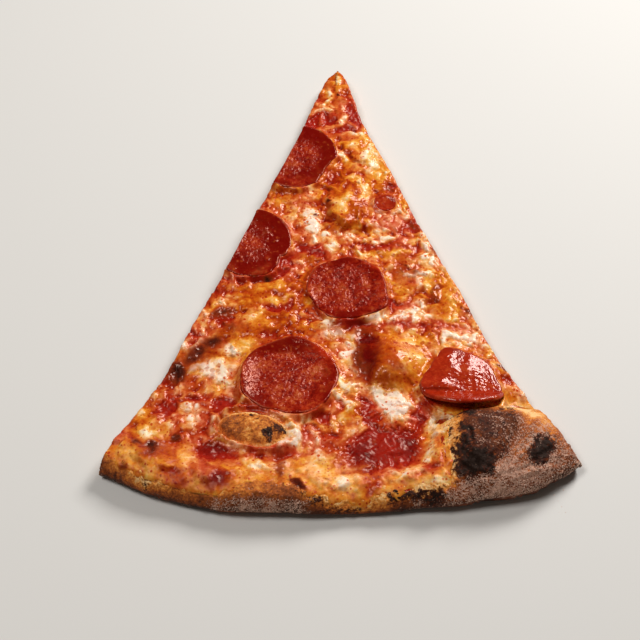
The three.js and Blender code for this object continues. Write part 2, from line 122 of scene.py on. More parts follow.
# Pepperoni: middle, mean radius, height of the underside, tilt about x and y in degrees, how
# far the edge cups up and the turn of its unevenness. The outline is a list of stations
# round the slice: degrees, 0 to the right and 90 towards the tip, and millimetres out. Dark
# places are smooth and darker red, browned in part and in part painted shade where the cupped
# edge turns away from the light; places of painted light are painted a lighter red where the
# light falls; and ridges stand up: ellipses from the slice's own middle. A crown lifts the
# middle, an oily slice has a film of oil all over, and a fold bends up what lies below a line
# across the slice.
SLICES = {
    "pepperoni_tip_left": {
        "at": (-17, -51), "radius": 18, "z": 6.4, "tilt": (-1, 1), "cup": 0.8, "turn": 20,
        "outline": ((-180, 18), (-110, 18.8), (-90, 19), (-62, 18.1), (-45, 15.8), (-28, 14.9),
                    (-14, 15.8), (-2, 18), (35, 18), (90, 18), (180, 18)),
        "dark": ((0, 0, 22, 22, 0, 0.65), (9, 12, 10, 6, -40, 0.4), (14, -1, 4, 10, 0, 0.4),
                 (4, -9, 8, 4, 0, 0.2)),
        "glow": ((-14, -4, 3, 12, 20, 0.2),),
    },
    "pepperoni_mid_left": {
        "at": (-36.5, -99), "radius": 18.4, "z": 6.4, "tilt": (0, 2), "cup": 0.9, "turn": 80,
        "outline": ((-180, 17), (-126, 16.5), (-95, 17.4), (-60, 18.6), (-48, 17.4), (-30, 15.4),
                    (-15, 17.4), (0, 18.3), (28, 18.8), (66, 18.5), (90, 17.8), (180, 17)),
        "dark": ((0, 0, 24, 24, 0, 0.75), (13, 5, 6, 11, 10, 0.6), (6, 12, 8, 4, -30, 0.3),
                 (3, -10, 7, 3, 0, 0.3)),
        "ridges": ((-4, 4, 3.5, 9, -10, 0.8),),
        "glow": ((9, 17, 9, 2.2, -35, 0.5), (-8, 4, 3, 12, -20, 0.3)),
    },
    "pepperoni_centre": {
        "at": (5, -122.8), "radius": 16.9, "z": 6.8, "tilt": (1, -1), "cup": 0.7, "turn": 140,
        "outline": ((-180, 17.2), (-153, 15.8), (-119, 16.3), (-78, 15), (-59, 15.4), (-30, 18.4),
                    (-4, 16.1), (18, 15.7), (37, 16.3), (55, 15.6), (90, 16.3), (109, 15.2),
                    (145, 17.1), (180, 17.2)),
        "dark": ((0, 0, 20, 20, 0, 0.15), (9, 6, 4, 5, 0, 0.3), (-4, 12, 7, 4, 10, 0.3),
                 (0, -13, 10, 4, 0, 0.45)),
        "glow": ((11, 12, 9, 2.6, -40, 0.9), (14, 0, 2.6, 9, 0, 0.5), (-14, 4, 2.4, 7, -20, 0.3)),
        "ridges": ((-16, -4, 3, 6, 10, 0.8), (13, -9, 5, 2, 10, 0.4)),
    },
    "pepperoni_low_left": {
        "at": (-18.5, -166), "radius": 19.5, "z": 6.8, "tilt": (-2, 1), "cup": 1.3, "turn": 200,
        "outline": ((-180, 19.4), (-155, 20.6), (-128, 19), (-109, 17.4), (-88, 18.4), (-60, 19.8),
                    (-25, 18.8), (6, 19.6), (55, 18.3), (85, 19.1), (111, 18.2), (150, 19.3),
                    (180, 19.4)),
        "dark": ((0, 0, 22, 22, 0, 0.25), (-2, 14, 15, 4.6, 0, 0.6), (15, -4, 4, 10, 0, 0.4),
                 (-12, -12, 7, 4, -30, 0.3)),
        "glow": ((13, 12, 9, 3.4, -45, 0.8), (6, -16, 9, 2.6, 10, 0.4)),
        "ridges": ((-19.5, 1, 4.5, 7, 10, 1.3),),
    },
    "pepperoni_low_right": {
        "at": (50, -168.6), "radius": 17, "z": 7.3, "tilt": (0, 0.5), "cup": 0.3, "turn": 60,
        "crown": 0.8, "fold": {"from": -4.5, "angle": 42, "bend": 5}, "oily": 1,
        "dark": ((13, 2, 5, 12, 10, 0.5), (-4, 13, 12, 3, 0, 0.35), (4, -11, 9, 3, 5, 0.4)),
        "outline": ((-180, 16.9), (-172, 17.7), (-155, 17.6), (-120, 17), (-90, 16.8), (-60, 17.2),
                    (-40, 18), (-28, 17.6), (-16, 15.6), (7, 13.3), (45, 13.3), (63, 13.2),
                    (82, 13.8), (100, 15.8), (112, 17.2), (120, 16.8), (131, 15.4), (153, 14.6),
                    (172, 16.1), (180, 16.9)),
        "glow": ((8, 12, 6, 9, -60, 0.7), (-9, 8, 4, 8, -30, 0.4), (-13, -7, 5, 4, 0, 0.5)),
        "ridges": ((-6, 6.5, 6.5, 10, -6, 1.5), (2.5, 4.5, 4, 7, -8, 0.9),
                   (-11, -3, 8, 4.4, -6, 1.8), (-19.5, -4.5, 4.6, 5, 10, 1.1)),
    },
    "pepperoni_end_piece": {
        "at": (21, -77.2), "radius": 4.8, "z": 6.6, "tilt": (10, 0), "cup": 0.6, "turn": 0,
        "oily": 1,
        "outline": ((-180, 4.8), (-90, 4.2), (0, 4.8), (90, 4.4), (180, 4.8)),
    },
}

# ---- what lies where on the cheese: ellipses in plan, as above ------------------------

MILK = (
    (-3.5, -12.4, 2.6, 2.2, 0, 0.8), (-3.5, -20.4, 3, 1.6, 80, 0.95), (-6, -24, 3.5, 1.4, 15, 0.7),
    (4, -24, 5, 1.2, 85, 0.75), (4, -29.5, 3, 2.1, 60, 1.1), (-6, -29, 2.4, 1.8, 0, 0.5),
    (2.5, -51, 4.4, 1.6, 112, 1.1), (9.5, -37.5, 3, 1.6, 0, 0.8), (8, -44.4, 3, 1.8, 120, 0.8),
    (14, -49.4, 5, 3.4, 60, 0.6), (16, -58, 5, 2.6, 70, 0.55), (8, -64.4, 3.5, 1.8, 110, 0.85),
    (5.5, -73, 4.5, 1.4, 75, 0.95), (12, -69.4, 4, 2, 70, 0.6), (2, -78, 3.6, 2.6, 60, 0.5),
    (-8, -70, 3.4, 1.9, 130, 1.0), (-19, -76, 5, 2.6, 0, 0.65), (-12, -81, 7, 3.6, -30, 1.0),
    (-9, -88, 6, 3.6, 100, 1.1), (-4, -95, 5, 2.6, 10, 0.9), (0, -101, 6, 3.4, 0, 0.8),
    (8, -93.5, 6, 1.8, 10, 0.95), (18, -96.5, 10, 1.4, 5, 0.85), (30, -97, 6, 1.4, 0, 0.7),
    (39, -106, 8, 2.6, 95, 0.85), (38, -118, 6, 2.2, 100, 0.85), (30, -115, 3, 2, 0, 0.55),
    (33, -133, 7, 4, 0, 1.1), (24, -136.5, 7, 2.2, 12, 0.95), (15, -138, 5, 1.8, 0, 0.8),
    (-1, -142, 6, 2.4, -45, 1.1), (7, -146, 4, 2.4, 60, 0.9), (-32, -134.5, 4.4, 3, 60, 1.1),
    (-47, -130, 6, 1.8, 20, 0.6), (-50, -141, 5, 1.8, 60, 0.6), (-41, -145, 3, 1.6, 0, 0.5),
    (6.5, -154, 6, 1.8, 95, 0.9), (2, -160, 4, 2.6, 90, 0.6), (-48, -162, 9, 5.6, -20, 1.15),
    (-45, -169, 5, 3.4, 0, 0.8), (-57, -153, 5, 2.4, 50, 0.75), (-40, -152, 8, 3.6, 25, 0.85),
    (-57, -182, 5, 3.4, -30, 1.1), (-62, -173, 4, 3, 0, 0.6), (-52, -173, 3, 2, 0, 0.6),
    (-66, -187, 3, 1.8, 0, 0.5), (-73.5, -192.5, 4, 3.4, -35, 0.95), (24, -179, 8, 5, -60, 1.15),
    (17, -173, 5, 3.6, 0, 0.95), (28, -186, 4, 2.6, 0, 0.8), (52, -146, 9, 3.2, -18, 0.95),
    (45, -148.5, 4, 2.6, 60, 0.8), (60, -141, 4, 2.4, -30, 0.6), (62, -151, 3, 1.6, -50, 0.5),
    (-57.5, -202, 2.8, 5, 0, 0.75), (-32, -206, 6, 2.4, -25, 1.0), (-23, -205.5, 4, 2, 0, 0.6),
    (-16.5, -192, 3, 7, 10, 0.95), (-22, -184.5, 7, 2, -30, 0.8), (-42, -198, 7, 3.0, -28, 0.9),
    (-47.5, -190, 2, 6, 10, 0.5), (38, -188, 4, 8, -25, 0.75), (35.5, -203, 2.2, 7, -10, 0.8),
    (37, -217.5, 9, 1.8, -3, 1.0), (43, -209, 2, 7, 0, 0.5), (31, -212, 3, 3, 0, 0.6),
    (-8, -208, 9, 6, 0, 0.6), (3, -214, 6, 3.4, 0, 0.6), (25, -209, 6, 3.4, 0, 0.7),
    (40, -212, 8, 1.8, -3, 0.7), (5, -173, 7, 3.4, 90, 0.7), (8, -190, 5, 1.8, 25, 0.8),
    (-34, -120.5, 9, 1.2, 8, 0.35), (-24, -121.5, 7, 1.2, 12, 0.4), (12, -104, 9, 1.2, -20, 0.5),
    (-6, -211, 12, 8, 0, 0.4), (-10, -203, 6, 5, 60, 0.6), (4, -214, 6, 5, 0, 0.4),
    (28, -210, 8, 3.6, 0, 0.7), (38, -196, 3.6, 12, -5, 0.8), (38, -186, 4.4, 5, -20, 0.8),
    (-57, -202, 3, 6, 0, 0.8), (34.5, -115.5, 3, 4, 0, 0.8), (38, -102, 2.4, 8, 5, 0.9),
    (30, -133, 8, 3.6, 0, 1.1), (17, -136, 6, 2.2, 10, 0.8), (9, -95, 10, 2.6, 2, 0.6),
    (-6, -96, 6, 3.4, 0, 0.7), (49, -146, 8, 3.4, -10, 0.9), (31, -154, 6, 8, 0, 0.4),
    (5, -156, 2.6, 7, 5, 0.95), (7, -145, 2.4, 4, 5, 0.9), (-62, -150, 6, 2.4, -35, 0.55),
    (-3, -143, 3, 3.4, 0, 0.9), (-1, -174, 3, 3, 0, 0.7),
)
RED = (
    (-5, -28.5, 6, 2.8, 0, 0.95), (8.8, -27, 10, 2.5, 107, 1.05), (4, -34.5, 6, 2, 20, 0.85),
    (24, -68, 4, 2.4, 60, 0.85), (-2, -62, 4.4, 2.4, 90, 0.55), (-20, -92, 4, 1.6, 90, 0.75),
    (-10, -102, 7, 2.4, -20, 0.95), (-22, -111, 5, 4, 0, 0.85), (-17, -105, 3, 2, 40, 0.6),
    (33, -89, 4, 3.2, 60, 0.9), (26, -89, 6, 4, 0, 0.5), (22, -100.6, 13, 1.3, 4, 0.9),
    (31, -104, 8, 1.2, 5, 0.5), (23, -130, 9, 1.9, -12, 0.95), (-52, -128, 4, 1.6, 60, 0.5),
    (-58, -143, 4, 2.4, 60, 0.6), (8, -139.5, 7, 2.2, 0, 1.0), (30, -140, 14, 1.3, -5, 0.8),
    (38, -143, 5, 2.2, 0, 0.6), (11, -159, 8, 3.2, 100, 0.9), (12, -148, 4, 2.6, 0, 0.8),
    (-66, -179, 7, 4, 60, 0.8), (-55, -176, 6, 2.2, 20, 0.75), (-44, -179, 3.9, 3.6, 0, 1.15),
    (-10, -184, 10, 2.2, -8, 0.95), (4, -189, 5, 3, 60, 0.7), (-2, -195, 5, 3.6, 90, 0.6),
    # (32, -184) here and (40, -178.5) below: dark red, partly sauce and partly painted shadow
    # beneath the front edge of pepperoni_low_right
    (13, -181, 7, 3.2, 100, 0.95), (18, -197.5, 14, 9.4, -8, 1.3), (32, -184, 6, 3, 35, 1.0),
    (40, -178.5, 6, 1.4, 12, 0.9), (-46, -200.5, 7.4, 3, -5, 1.05),
    (-24, -200.5, 11, 2.7, -3, 0.95), (-11, -194, 5, 2.2, 80, 0.7), (-64, -211, 3, 1.8, 0, 0.85),
    (-45, -213, 3.4, 2.2, 60, 0.85), (-62, -194, 3.4, 3, 0, 0.5), (13, -218, 4.5, 1.8, 60, 0.9),
    (36, -210, 5, 1.4, 40, 0.75), (38.5, -197.5, 2.2, 5, -10, 0.8), (36, -210, 3.4, 3.4, 30, 0.95),
    (-31, -116, 7, 1.8, 5, 0.8), (-30, -181.5, 9, 2.4, -12, 1.0), (-14, -187, 7, 2.4, -30, 0.9),
    (-12, -193, 2.2, 8, 5, 0.7), (-21, -201, 14, 2.2, 2, 0.9), (-50, -201, 4, 4, 0, 1.1),
    # (47, -179.5) and (57, -181): dark red, partly sauce and partly painted shadow beneath the
    # front edge of pepperoni_low_right
    (-42.5, -201, 4.6, 3, 0, 1.1), (47, -179.5, 8, 1.6, 8, 1.0), (57, -181, 8, 1.6, -3, 0.7),
    (-12, -32.5, 3, 1.6, 20, 0.9), (-8, -112, 2, 6, 0, 0.4), (-18, -104, 4, 3, 0, 0.7),
    (-7, -101, 3, 4, -40, 0.8), (24, -90, 3, 3, 0, 0.5), (16, -100, 14, 1.4, 2, 0.7),
    (27, -97, 4, 2, 20, 0.6), (34.5, -100.5, 2, 2.4, 0, 0.8), (29, -130.5, 4, 2.6, -20, 0.8),
    (24, -131, 2.6, 2, 0, 0.8), (-25, -131.5, 4, 1.8, 0, 0.8), (-19, -130, 1.6, 2.4, 0, 1.0),
    (-9, -134, 3, 3, 0, 0.7), (-46, -134, 5, 2.6, 10, 0.55), (-50, -120, 3, 6, 25, 0.5),
    (45, -141, 7, 2.6, -20, 0.75), (38, -133, 3, 1.6, 0, 0.5), (-10, -199, 4, 3, 0, 0.6),
    (-54, -137, 3, 1.4, 60, 0.5), (44, -101, 5, 1.4, 110, 0.5), (14, -208, 6, 2.4, 10, 0.55),
    (-18, -117, 3, 5, 0, 0.4), (43, -212, 3, 4, 0, 0.6), (40, -202, 2.4, 4, 0, 0.5),
    (-10.5, -31.5, 2.6, 4, 20, 0.6),
)
TOAST = (
    (2, -15.2, 1.2, 1.2, 0, 1.1), (-28.5, -117, 1.8, 1.6, 0, 1.1), (29.5, -109, 2, 1.4, 0, 0.55),
    (27, -113, 1.4, 3, 10, 0.5), (33, -113, 1.4, 4, -10, 0.5), (40, -127, 2.6, 3.6, 0, 0.5),
    (41, -122, 1.6, 3, -20, 0.6), (36, -122, 2.2, 1.8, -30, 0.45), (37, -129, 2.4, 2, 0, 0.45),
    (-49.5, -148.5, 4, 2.8, 20, 1.0), (-55, -154, 6.5, 3, 42, 0.85),
    (-63.5, -163, 4.4, 5, 20, 1.1), (-46, -134, 5, 2.6, 10, 0.7), (-42, -141, 4, 2.6, 0, 0.45),
    (-71, -200, 2.6, 3.6, 0, 1.0), (-77, -198, 1.8, 1.8, 0, 0.75), (-62, -193.5, 1.8, 2.2, 0, 0.9),
    (-14.5, -216.5, 3.6, 1.3, -38, 1.0), (-81, -207.5, 2.4, 1.8, 0, 0.7),
    (9, -157, 2.4, 9, 4, 0.65), (11, -163, 3, 4, 0, 0.5), (54.5, -133.5, 1.4, 2, 20, 0.7),
    (52, -131, 1, 1.6, 0, 0.6), (66.5, -161, 2.4, 1.2, -50, 0.7), (-3, -86, 1.6, 5, 20, 0.2),
    (2, -90.8, 5, 1.3, -12, 0.2), (-1.8, -77.2, 0.9, 0.8, 0, 1.0), (13, -91, 3.4, 1.6, -20, 0.15),
    (-8, -83, 0.7, 1.0, 0, 0.7), (-22, -209, 2.4, 6, 0, 0.55), (3, -211, 1.6, 1.2, 0, 0.5),
    (-3, -213.5, 1.3, 1, 0, 0.5), (-41, -156, 1.4, 1, 0, 0.6), (10, -143, 3, 2, 0, 0.5),
    (33, -88.5, 2, 1.8, 0, 0.6), (36, -90, 0.9, 3, 20, 0.5), (41.5, -101, 0.8, 4, 15, 0.6),
    (22.5, -68, 3, 1.6, -20, 0.55),
)
# Where the cheese is stained to a deep orange by oil, and where it stays light and yellow.
ORANGE = (
    (5, -80, 14, 6, 78, 0.9), (-30, -124, 15, 5, 8, 0.9), (-25, -141, 15, 7, 20, 0.8),
    (17, -155, 6, 13, 0, 0.8), (24, -169, 12, 3.4, 0, 0.8), (-22, -64, 4, 8, 0, 0.4),
    (0, -68, 4, 12, 10, 0.8), (1, -6, 6, 9, 0, 0.6), (-6, -75, 4, 7, 0, 0.6),
    (16, -62, 5, 9, 30, 0.5), (29, -102, 8, 8, 0, 0.5), (43, -130, 4, 13, 25, 0.8),
    (-72, -200, 6, 8, 20, 0.7), (-45, -122, 4, 3, 0, 0.5), (-10, -178, 3, 3, 0, 0.3),
    (44, -124, 14, 4, 105, 0.7), (-70, -204, 12, 5, -25, 0.7), (60, -174, 12, 5, -20, 0.9),
    (6, -45, 4, 3, 0, 0.7), (-1, -64, 10, 3, 95, 0.8), (5, -55, 6, 2, 80, 0.7),
    (-40, -140, 12, 8, 20, 0.4), (12, -93, 8, 2.6, 5, 0.7), (25, -103, 12, 2.6, 5, 0.7),
    (-12, -125, 5, 10, 0, 0.5), (36, -163, 6, 10, 0, 0.5),
)
PALE_GOLD = (
    (3.5, -7, 5, 2.4, 95, 0.9), (-81, -202, 5, 2.4, 10, 0.8), (47, -126, 7, 3, 100, 0.8),
    (25, -121, 5, 3, -60, 0.8), (11, -86, 5, 5, 0, 0.6), (10, -209, 8, 8, 0, 0.5),
    (16, -45, 10, 3.6, 108, 0.9), (20, -55, 7, 3, 110, 0.8), (9, -86, 5, 4, 0, 0.5),
    (28, -81, 6, 5, 0, 0.55), (24, -122, 8, 2.4, 115, 0.9), (49, -120, 8, 2.4, 110, 0.6),
    (46, -136, 8, 2.2, 60, 0.6), (-27, -127.5, 7, 2, 5, 0.7), (2, -4, 4, 3, 0, 0.35),
    (-40, -152, 9, 4, 25, 0.6), (-8, -208, 12, 7, 0, 0.6), (70, -180, 12, 2.4, -20, 0.6),
    (-25, -211, 10, 3, -5, 0.5), (64, -157, 7, 2, 115, 0.5), (-20, -74, 9, 4, 0, 0.4),
    (17, -52, 12, 4.5, 110, 1.1), (11, -67, 4, 8, 0, 0.8), (5, -184, 3.4, 8, 0, 0.9),
    (-80, -203, 7, 3.4, -20, 1.1), (-70, -207, 6, 3, -20, 1.0), (-75, -188, 3.6, 7, 10, 1.0),
    (-36, -212, 7, 6, 0, 0.9), (-28, -121, 11, 2.6, 8, 0.7), (-25, -128, 6, 2.2, 0, 0.9),
    (45, -126, 4.4, 10, 15, 0.8), (15, -103, 7, 2.6, -10, 0.7), (-42, -126, 6, 3, 0, 0.5),
    (28, -146, 8, 4.4, 0, 0.9), (31, -160, 5, 6, 20, 0.7),
)
# Where it stayed in small pale curds with red between them.
CURDLED = (
    (24, -178, 9, 6, 0, 0.7), (18, -197, 12, 7, -8, 0.5), (-53, -140, 5, 9, -20, 0.9),
    (-15, -137, 5, 5, 0, 0.8), (-42, -115, 5, 4, 0, 0.8), (10, -96, 22, 5, 0, 1.0),
    (24, -86, 10, 8, 0, 1.0), (24, -139, 14, 3, 0, 0.8), (-62, -178, 8, 8, 0, 0.8),
    (-9, -195, 6, 8, 0, 0.7), (14, -211, 7, 7, 0, 0.7), (32, -133, 10, 5, 0, 0.6),
    (-9, -84, 8, 12, 0, 0.8), (36, -108, 6, 10, 0, 0.6), (-42, -127, 7, 4, 0, 0.8),
    (-18, -112, 5, 5, 0, 0.8), (5, -150, 5, 12, 0, 0.6), (-6, -24, 6, 12, 0, 0.7),
    (5, -176, 8, 6, 0, 0.5), (-52, -186, 6, 9, 0, 0.6), (46, -143, 9, 5, 0, 0.6),
    (24, -180, 9, 8, -40, 0.9), (-57, -181, 6, 5, 0, 0.8), (-10, -90, 8, 8, 0, 0.6),
)

# Where it lies thicker, and so is paler, or thinner than all that.
THICKER = (
    (71, -175.5, 6, 5, 0, 0.7), (-48, -139, 5, 4, 0, -0.6), (17, -178.5, 5, 5, 0, 0.6),
    (8, -177, 5, 5, 0, -0.39), (-51, -184, 5, 5, 0, -0.38), (-12, -185, 5, 4, 0, 0.6),
    (-55, -137.5, 4, 5, -20, 0.6), (13, -210, 6, 5, 0, -0.35), (-14, -78, 5, 4, 0, -0.35),
    (-33, -133, 5, 4, 0, -0.5), (13, -94, 6, 4, 0, -0.35), (-20, -74, 5, 4, 0, -0.35),
    (-45, -216, 6, 4, 0, -0.6), (26, -102, 7, 5, 0, 0.45), (-20, -198, 5, 4, 0, 0.6),
    (-77, -189, 4, 5, 20, -0.4), (4, -103, 5, 4, 0, -0.33), (-31, -118, 6, 3, 0, -0.32),
    (12, -36, 3, 5, 20, 0.5), (-32, -139, 5, 4, 0, 0.32), (44, -109, 4, 5, 20, 0.32),
    (-49, -156, 5, 4, 30, -0.32), (-11, -194, 4, 5, 0, 0.32), (-51, -197, 7, 5, 0, -0.45),
    (-35, -205, 6, 4, 0, -0.3), (20, -91, 5, 4, 0, 0.5), (4, -78, 4, 6, 0, 0.29),
    (4, -27, 4, 4, 0, -0.29), (9, -62, 4, 5, 0, -0.29), (22, -125, 5, 4, 0, -0.29),
    (3, -188, 5, 5, 0, 0.42), (32, -191, 4, 5, 0, -0.45), (26, -86, 5, 5, 0, 0.28),
    (22, -186, 5, 4, 0, 0.28), (23, -166, 6, 4, 0, 0.27), (-18, -102, 4, 4, 0, 0.27),
    (33, -202, 4, 5, 0, 0.27), (-12, -206, 5, 5, 0, -0.22), (48, -140, 6, 4, 0, 0.27),
    (-61, -180, 5, 4, 0, -0.27), (-5, -82, 4, 4, 0, -0.27), (25, -133, 5, 4, 0, -0.27),
    (10, -54, 4, 5, 0, 0.27), (45, -128, 4, 5, 20, 0.25), (-1, -156, 3, 5, 0, 0.26),
    (-6, -71, 4, 4, 0, -0.26), (4, -49, 4, 5, 0, -0.25), (53, -151, 5, 4, 0, 0.25),
    (22, -58, 4, 5, 20, 0.24), (-65, -167, 4, 5, 20, -0.45), (36, -139, 5, 4, 0, 0.23),
    (-20, -85, 5, 4, 0, 0.23), (-37, -157, 5, 4, 0, 0.23), (-22, -146, 5, 4, 0, -0.23),
    (-14, -143, 5, 4, 0, -0.23), (-62, -215, 6, 4, -20, -0.5), (43.5, -185, 4, 4, 0, 0.45),
    (-0.5, -207, 5, 4, 0, -0.35), (1, -217, 6, 3.4, 0, 0.35), (68, -167, 4, 4, 0, -0.3),
    (7, -71, 4, 4, 0, -0.28), (-39, -120, 5, 4, 0, -0.26), (-11, -93, 4, 4, 0, 0.25),
    (25, -213, 5, 4, 0, 0.25), (-65, -191, 4, 4, 0, 0.25), (28, -139, 5, 4, 0, 0.25),
    (15, -185, 4, 4, 0, -0.25), (10, -171, 4, 4, 0, 0.24), (33, -172, 5, 4, 0, 0.24),
    (40, -124, 4, 4, 0, -0.24), (-6, -136, 4, 4, 0, 0.24), (2, -84, 4, 4, 0, 0.24),
    (-7, -201, 4, 4, 0, 0.24), (2, -168, 4, 4, 0, 0.24), (35, -109, 4, 4, 0, 0.22),
    (-4, -89, 3, 4, 0, -0.22), (-18, -133, 4, 4, 0, -0.22), (-41, -162, 4, 4, 0, -0.22),
    (-12, -119, 4, 4, 0, -0.22), (65, -178, 5, 4, 0, -0.22), (64, -158, 4, 5, 20, 0.22),
    (48, -120, 3, 5, 20, 0.22), (-55, -172, 4, 4, 0, -0.22), (-72, -203, 4, 4, 0, -0.22),
    (41, -153, 4, 4, 0, 0.22), (12, -87, 4, 4, 0, -0.22), (1, -7, 3, 6, 0, 0.22),
    (35, -93, 4, 4, 0, 0.2), (43, -185, 4, 4, 0, 0.35), (39, -192, 4, 4, 0, 0.25),
    (42, -205, 4, 7, 0, -0.25), (-11, -31, 4, 4, 0, -0.4), (39, -129, 4, 4, 0, -0.3),
    (-26, -201, 5, 3, 0, 0.3), (-37, -150, 5, 4, 0, -0.3), (1, -162, 4, 4, 0, -0.25),
    (-5, -86, 4, 5, 0, -0.2), (-62, -215, 5, 4, 0, -0.2), (27, -96, 4, 3, 0, -0.2),
    (3, -80, 5, 8, 10, 0.15), (-50, -215, 4, 3, 0, 0.25), (-61, -209, 4, 3, 0, 0.25),
    (-73, -211, 5, 3, -20, 0.25), (5, -94, 4, 3, 0, -0.2), (-11, -33, 3, 3, 0, -0.4),
    (-10, -28.5, 3, 2, 0, -0.3), (-31.5, -185, 4, 1.6, -10, -0.35), (-6, -20, 3, 3, 0, -0.25),
    (24, -178, 7, 5, 0, -0.08), (11, -80, 4, 4, 0, -0.2), (-29, -147, 4, 4, 0, -0.2),
    (-60, -200, 4, 4, 0, -0.2), (43, -136, 4, 4, 0, 0.2),
)

# Where the skin is painted darker, as shade on the dark flanks of lobes and of the covered
# bubble and in creases, and in part as oil that browned; where it is puffed up smooth; and
# where it is freckled with brown.
GLAZED_AND_SHADED = (
    (12.5, -152, 4.4, 15, 3, 1.1), (12, -161, 5, 6, 0, 1.0), (-55, -155, 14, 5, 42, 0.8),
    (-71, -200, 5, 5, 0, 0.6), (29, -112, 5, 5, 0, 0.5), (-22, -207, 2.4, 8, 0, 0.6),
    (9, -84, 2, 5, -20, 0.3), (4, -142, 9, 3, 0, 0.7), (12, -147, 5, 5, 0, 0.8),
    (28, -197, 4, 5, 0, 0.9), (10, -202, 5, 7, 0, 0.8), (-48, -199, 5, 3, 0, 0.8),
    (-65, -166, 4, 4, 0, 0.9), (-45, -216, 5, 3, 0, 0.8), (22, -168, 12, 4, 0, 0.5),
    (-4, -86, 6, 2.4, 70, 0.4), (1, -91, 6, 2, -20, 0.3), (-31, -184.5, 4, 2, -10, 0.6),
    (-23, -214, 4, 3, 0, 0.5), (-57, -218, 8, 3, -20, 0.3),
)
PUFFED = (
    (20, -158, 16, 15, 0, 1.0), (5, -80, 12, 7, 78, 0.6), (-30, -141, 13, 7, 20, 0.6),
    (-28, -124, 14, 5, 8, 0.6), (46, -128, 14, 5, 66, 0.6), (-44, -156, 14, 7, 25, 0.7),
    (16, -48, 12, 6, 108, 0.5), (-8, -209, 12, 8, 0, 0.6), (29, -101, 9, 6, 0, 0.5),
    (-70, -204, 12, 6, -25, 0.5), (38, -200, 5, 16, -5, 0.5),
)
FRECKLED = (
    (29, -153, 10, 11, 0, 1.0), (60, -145, 8, 5, -60, 0.8), (-44, -158, 14, 6, 20, 0.45),
    (5, -172, 8, 8, 0, 0.6),
)

# ---- numbers ------------------------------------------------------------------------


def lerp(a, b, t):
    return a + (b - a) * t


def smoothstep(value, low, high):
    t = np.clip((value - low) / (high - low), 0, 1)
    return t * t * (3 - 2 * t)


def around(stations, angle):
    """Value at an angle, eased from one station to the next."""
    at, value = np.array(stations, float).T
    i = np.clip(np.searchsorted(at, angle, side="right"), 1, len(at) - 1)
    return lerp(value[i - 1], value[i], smoothstep(angle, at[i - 1], at[i]))


def ellipse(form, x, y):
    """Distance from an ellipse's middle, 1 on its edge."""
    cos, sin = math.cos(math.radians(form[4])), math.sin(math.radians(form[4]))
    dx, dy = x - form[0], y - form[1]
    return np.hypot((dx * cos + dy * sin) / form[2], (dy * cos - dx * sin) / form[3])


def swelling(form, x, y):
    return form[5] * np.maximum(0, 1 - ellipse(form, x, y) ** 2) ** 1.5


def mound(form, x, y):
    return form[5] * np.exp(-1.4 * ellipse(form, x, y) ** 2)


def heap(height, forms, x, y):
    """A height with mounds added to it."""
    for form in forms:
        height = height + mound(form, x, y)
    return height


def overhang(form, x, y):
    """A lobe that is steep on its lower left and melts away on its upper right."""
    inside = smoothstep(1 - ellipse(form, x, y), 0, STEEP_SIDE)
    along = ((x - form[0]) / form[2] + (y - form[1]) / form[3]) / 2
    return form[5] * inside * np.clip(0.5 - along, 0, 1)


def hashed(ix, iy, seed):
    """A number from 0 to 1 for each point of a lattice, the same on every run."""
    ix, iy = ix.astype(np.int64), iy.astype(np.int64)
    h = (ix * 374761393 + iy * 668265263 + seed * 97463477) & 0xFFFFFFFF
    h = ((h ^ (h >> 13)) * 1274126177) & 0xFFFFFFFF
    return ((h ^ (h >> 16)) & 0xFFFF) / 65535


def noise(x, y, size, seed):
    """Smooth noise from about -1 to 1, its lumps as wide as size."""
    x, y = x / size, y / size
    ix, iy = np.floor(x), np.floor(y)
    fx, fy = x - ix, y - iy
    ux, uy = (f * f * f * (f * (f * 6 - 15) + 10) for f in (fx, fy))
    total = np.zeros_like(x)
    for cx in (0, 1):
        for cy in (0, 1):
            turn = hashed(ix + cx, iy + cy, seed) * 2 * np.pi
            slope = np.cos(turn) * (fx - cx) + np.sin(turn) * (fy - cy)
            total += (ux if cx else 1 - ux) * (uy if cy else 1 - uy) * slope
    return total * 1.5


def fractal(x, y, size, seed, octaves=3, fade=0.5):
    """Several sizes of noise added up, each half as wide as the one before."""
    total = np.zeros_like(x)
    for i in range(octaves):
        total += fade**i * noise(x, y, size / 2**i, seed + i)
    return total


def cells(x, y, size, seed):
    """Distance to the nearest of scattered points, about 0 to 1, and a number for that point."""
    x, y = x / size, y / size
    ix, iy = np.floor(x), np.floor(y)
    nearest = np.full_like(x, 9.0)
    mark = np.zeros_like(x)
    for cx in (-1, 0, 1):
        for cy in (-1, 0, 1):
            px = ix + cx + hashed(ix + cx, iy + cy, seed)
            py = iy + cy + hashed(ix + cx, iy + cy, seed + 1)
            away = np.hypot(px - x, py - y)
            mark = np.where(away < nearest, hashed(ix + cx, iy + cy, seed + 2), mark)
            nearest = np.minimum(nearest, away)
    return nearest, mark


def spread(forms, x, y, soft=0.3):
    """How strongly a list of ellipses covers each point, the strongest of them counting."""
    total = np.zeros_like(x)
    for form in forms:
        cover = form[5] * smoothstep(-ellipse(form, x, y), -1 - soft, -1 + soft)
        total = np.maximum(total, cover)
    return total


# ---- plan and heights ------------------------------------------------------------------


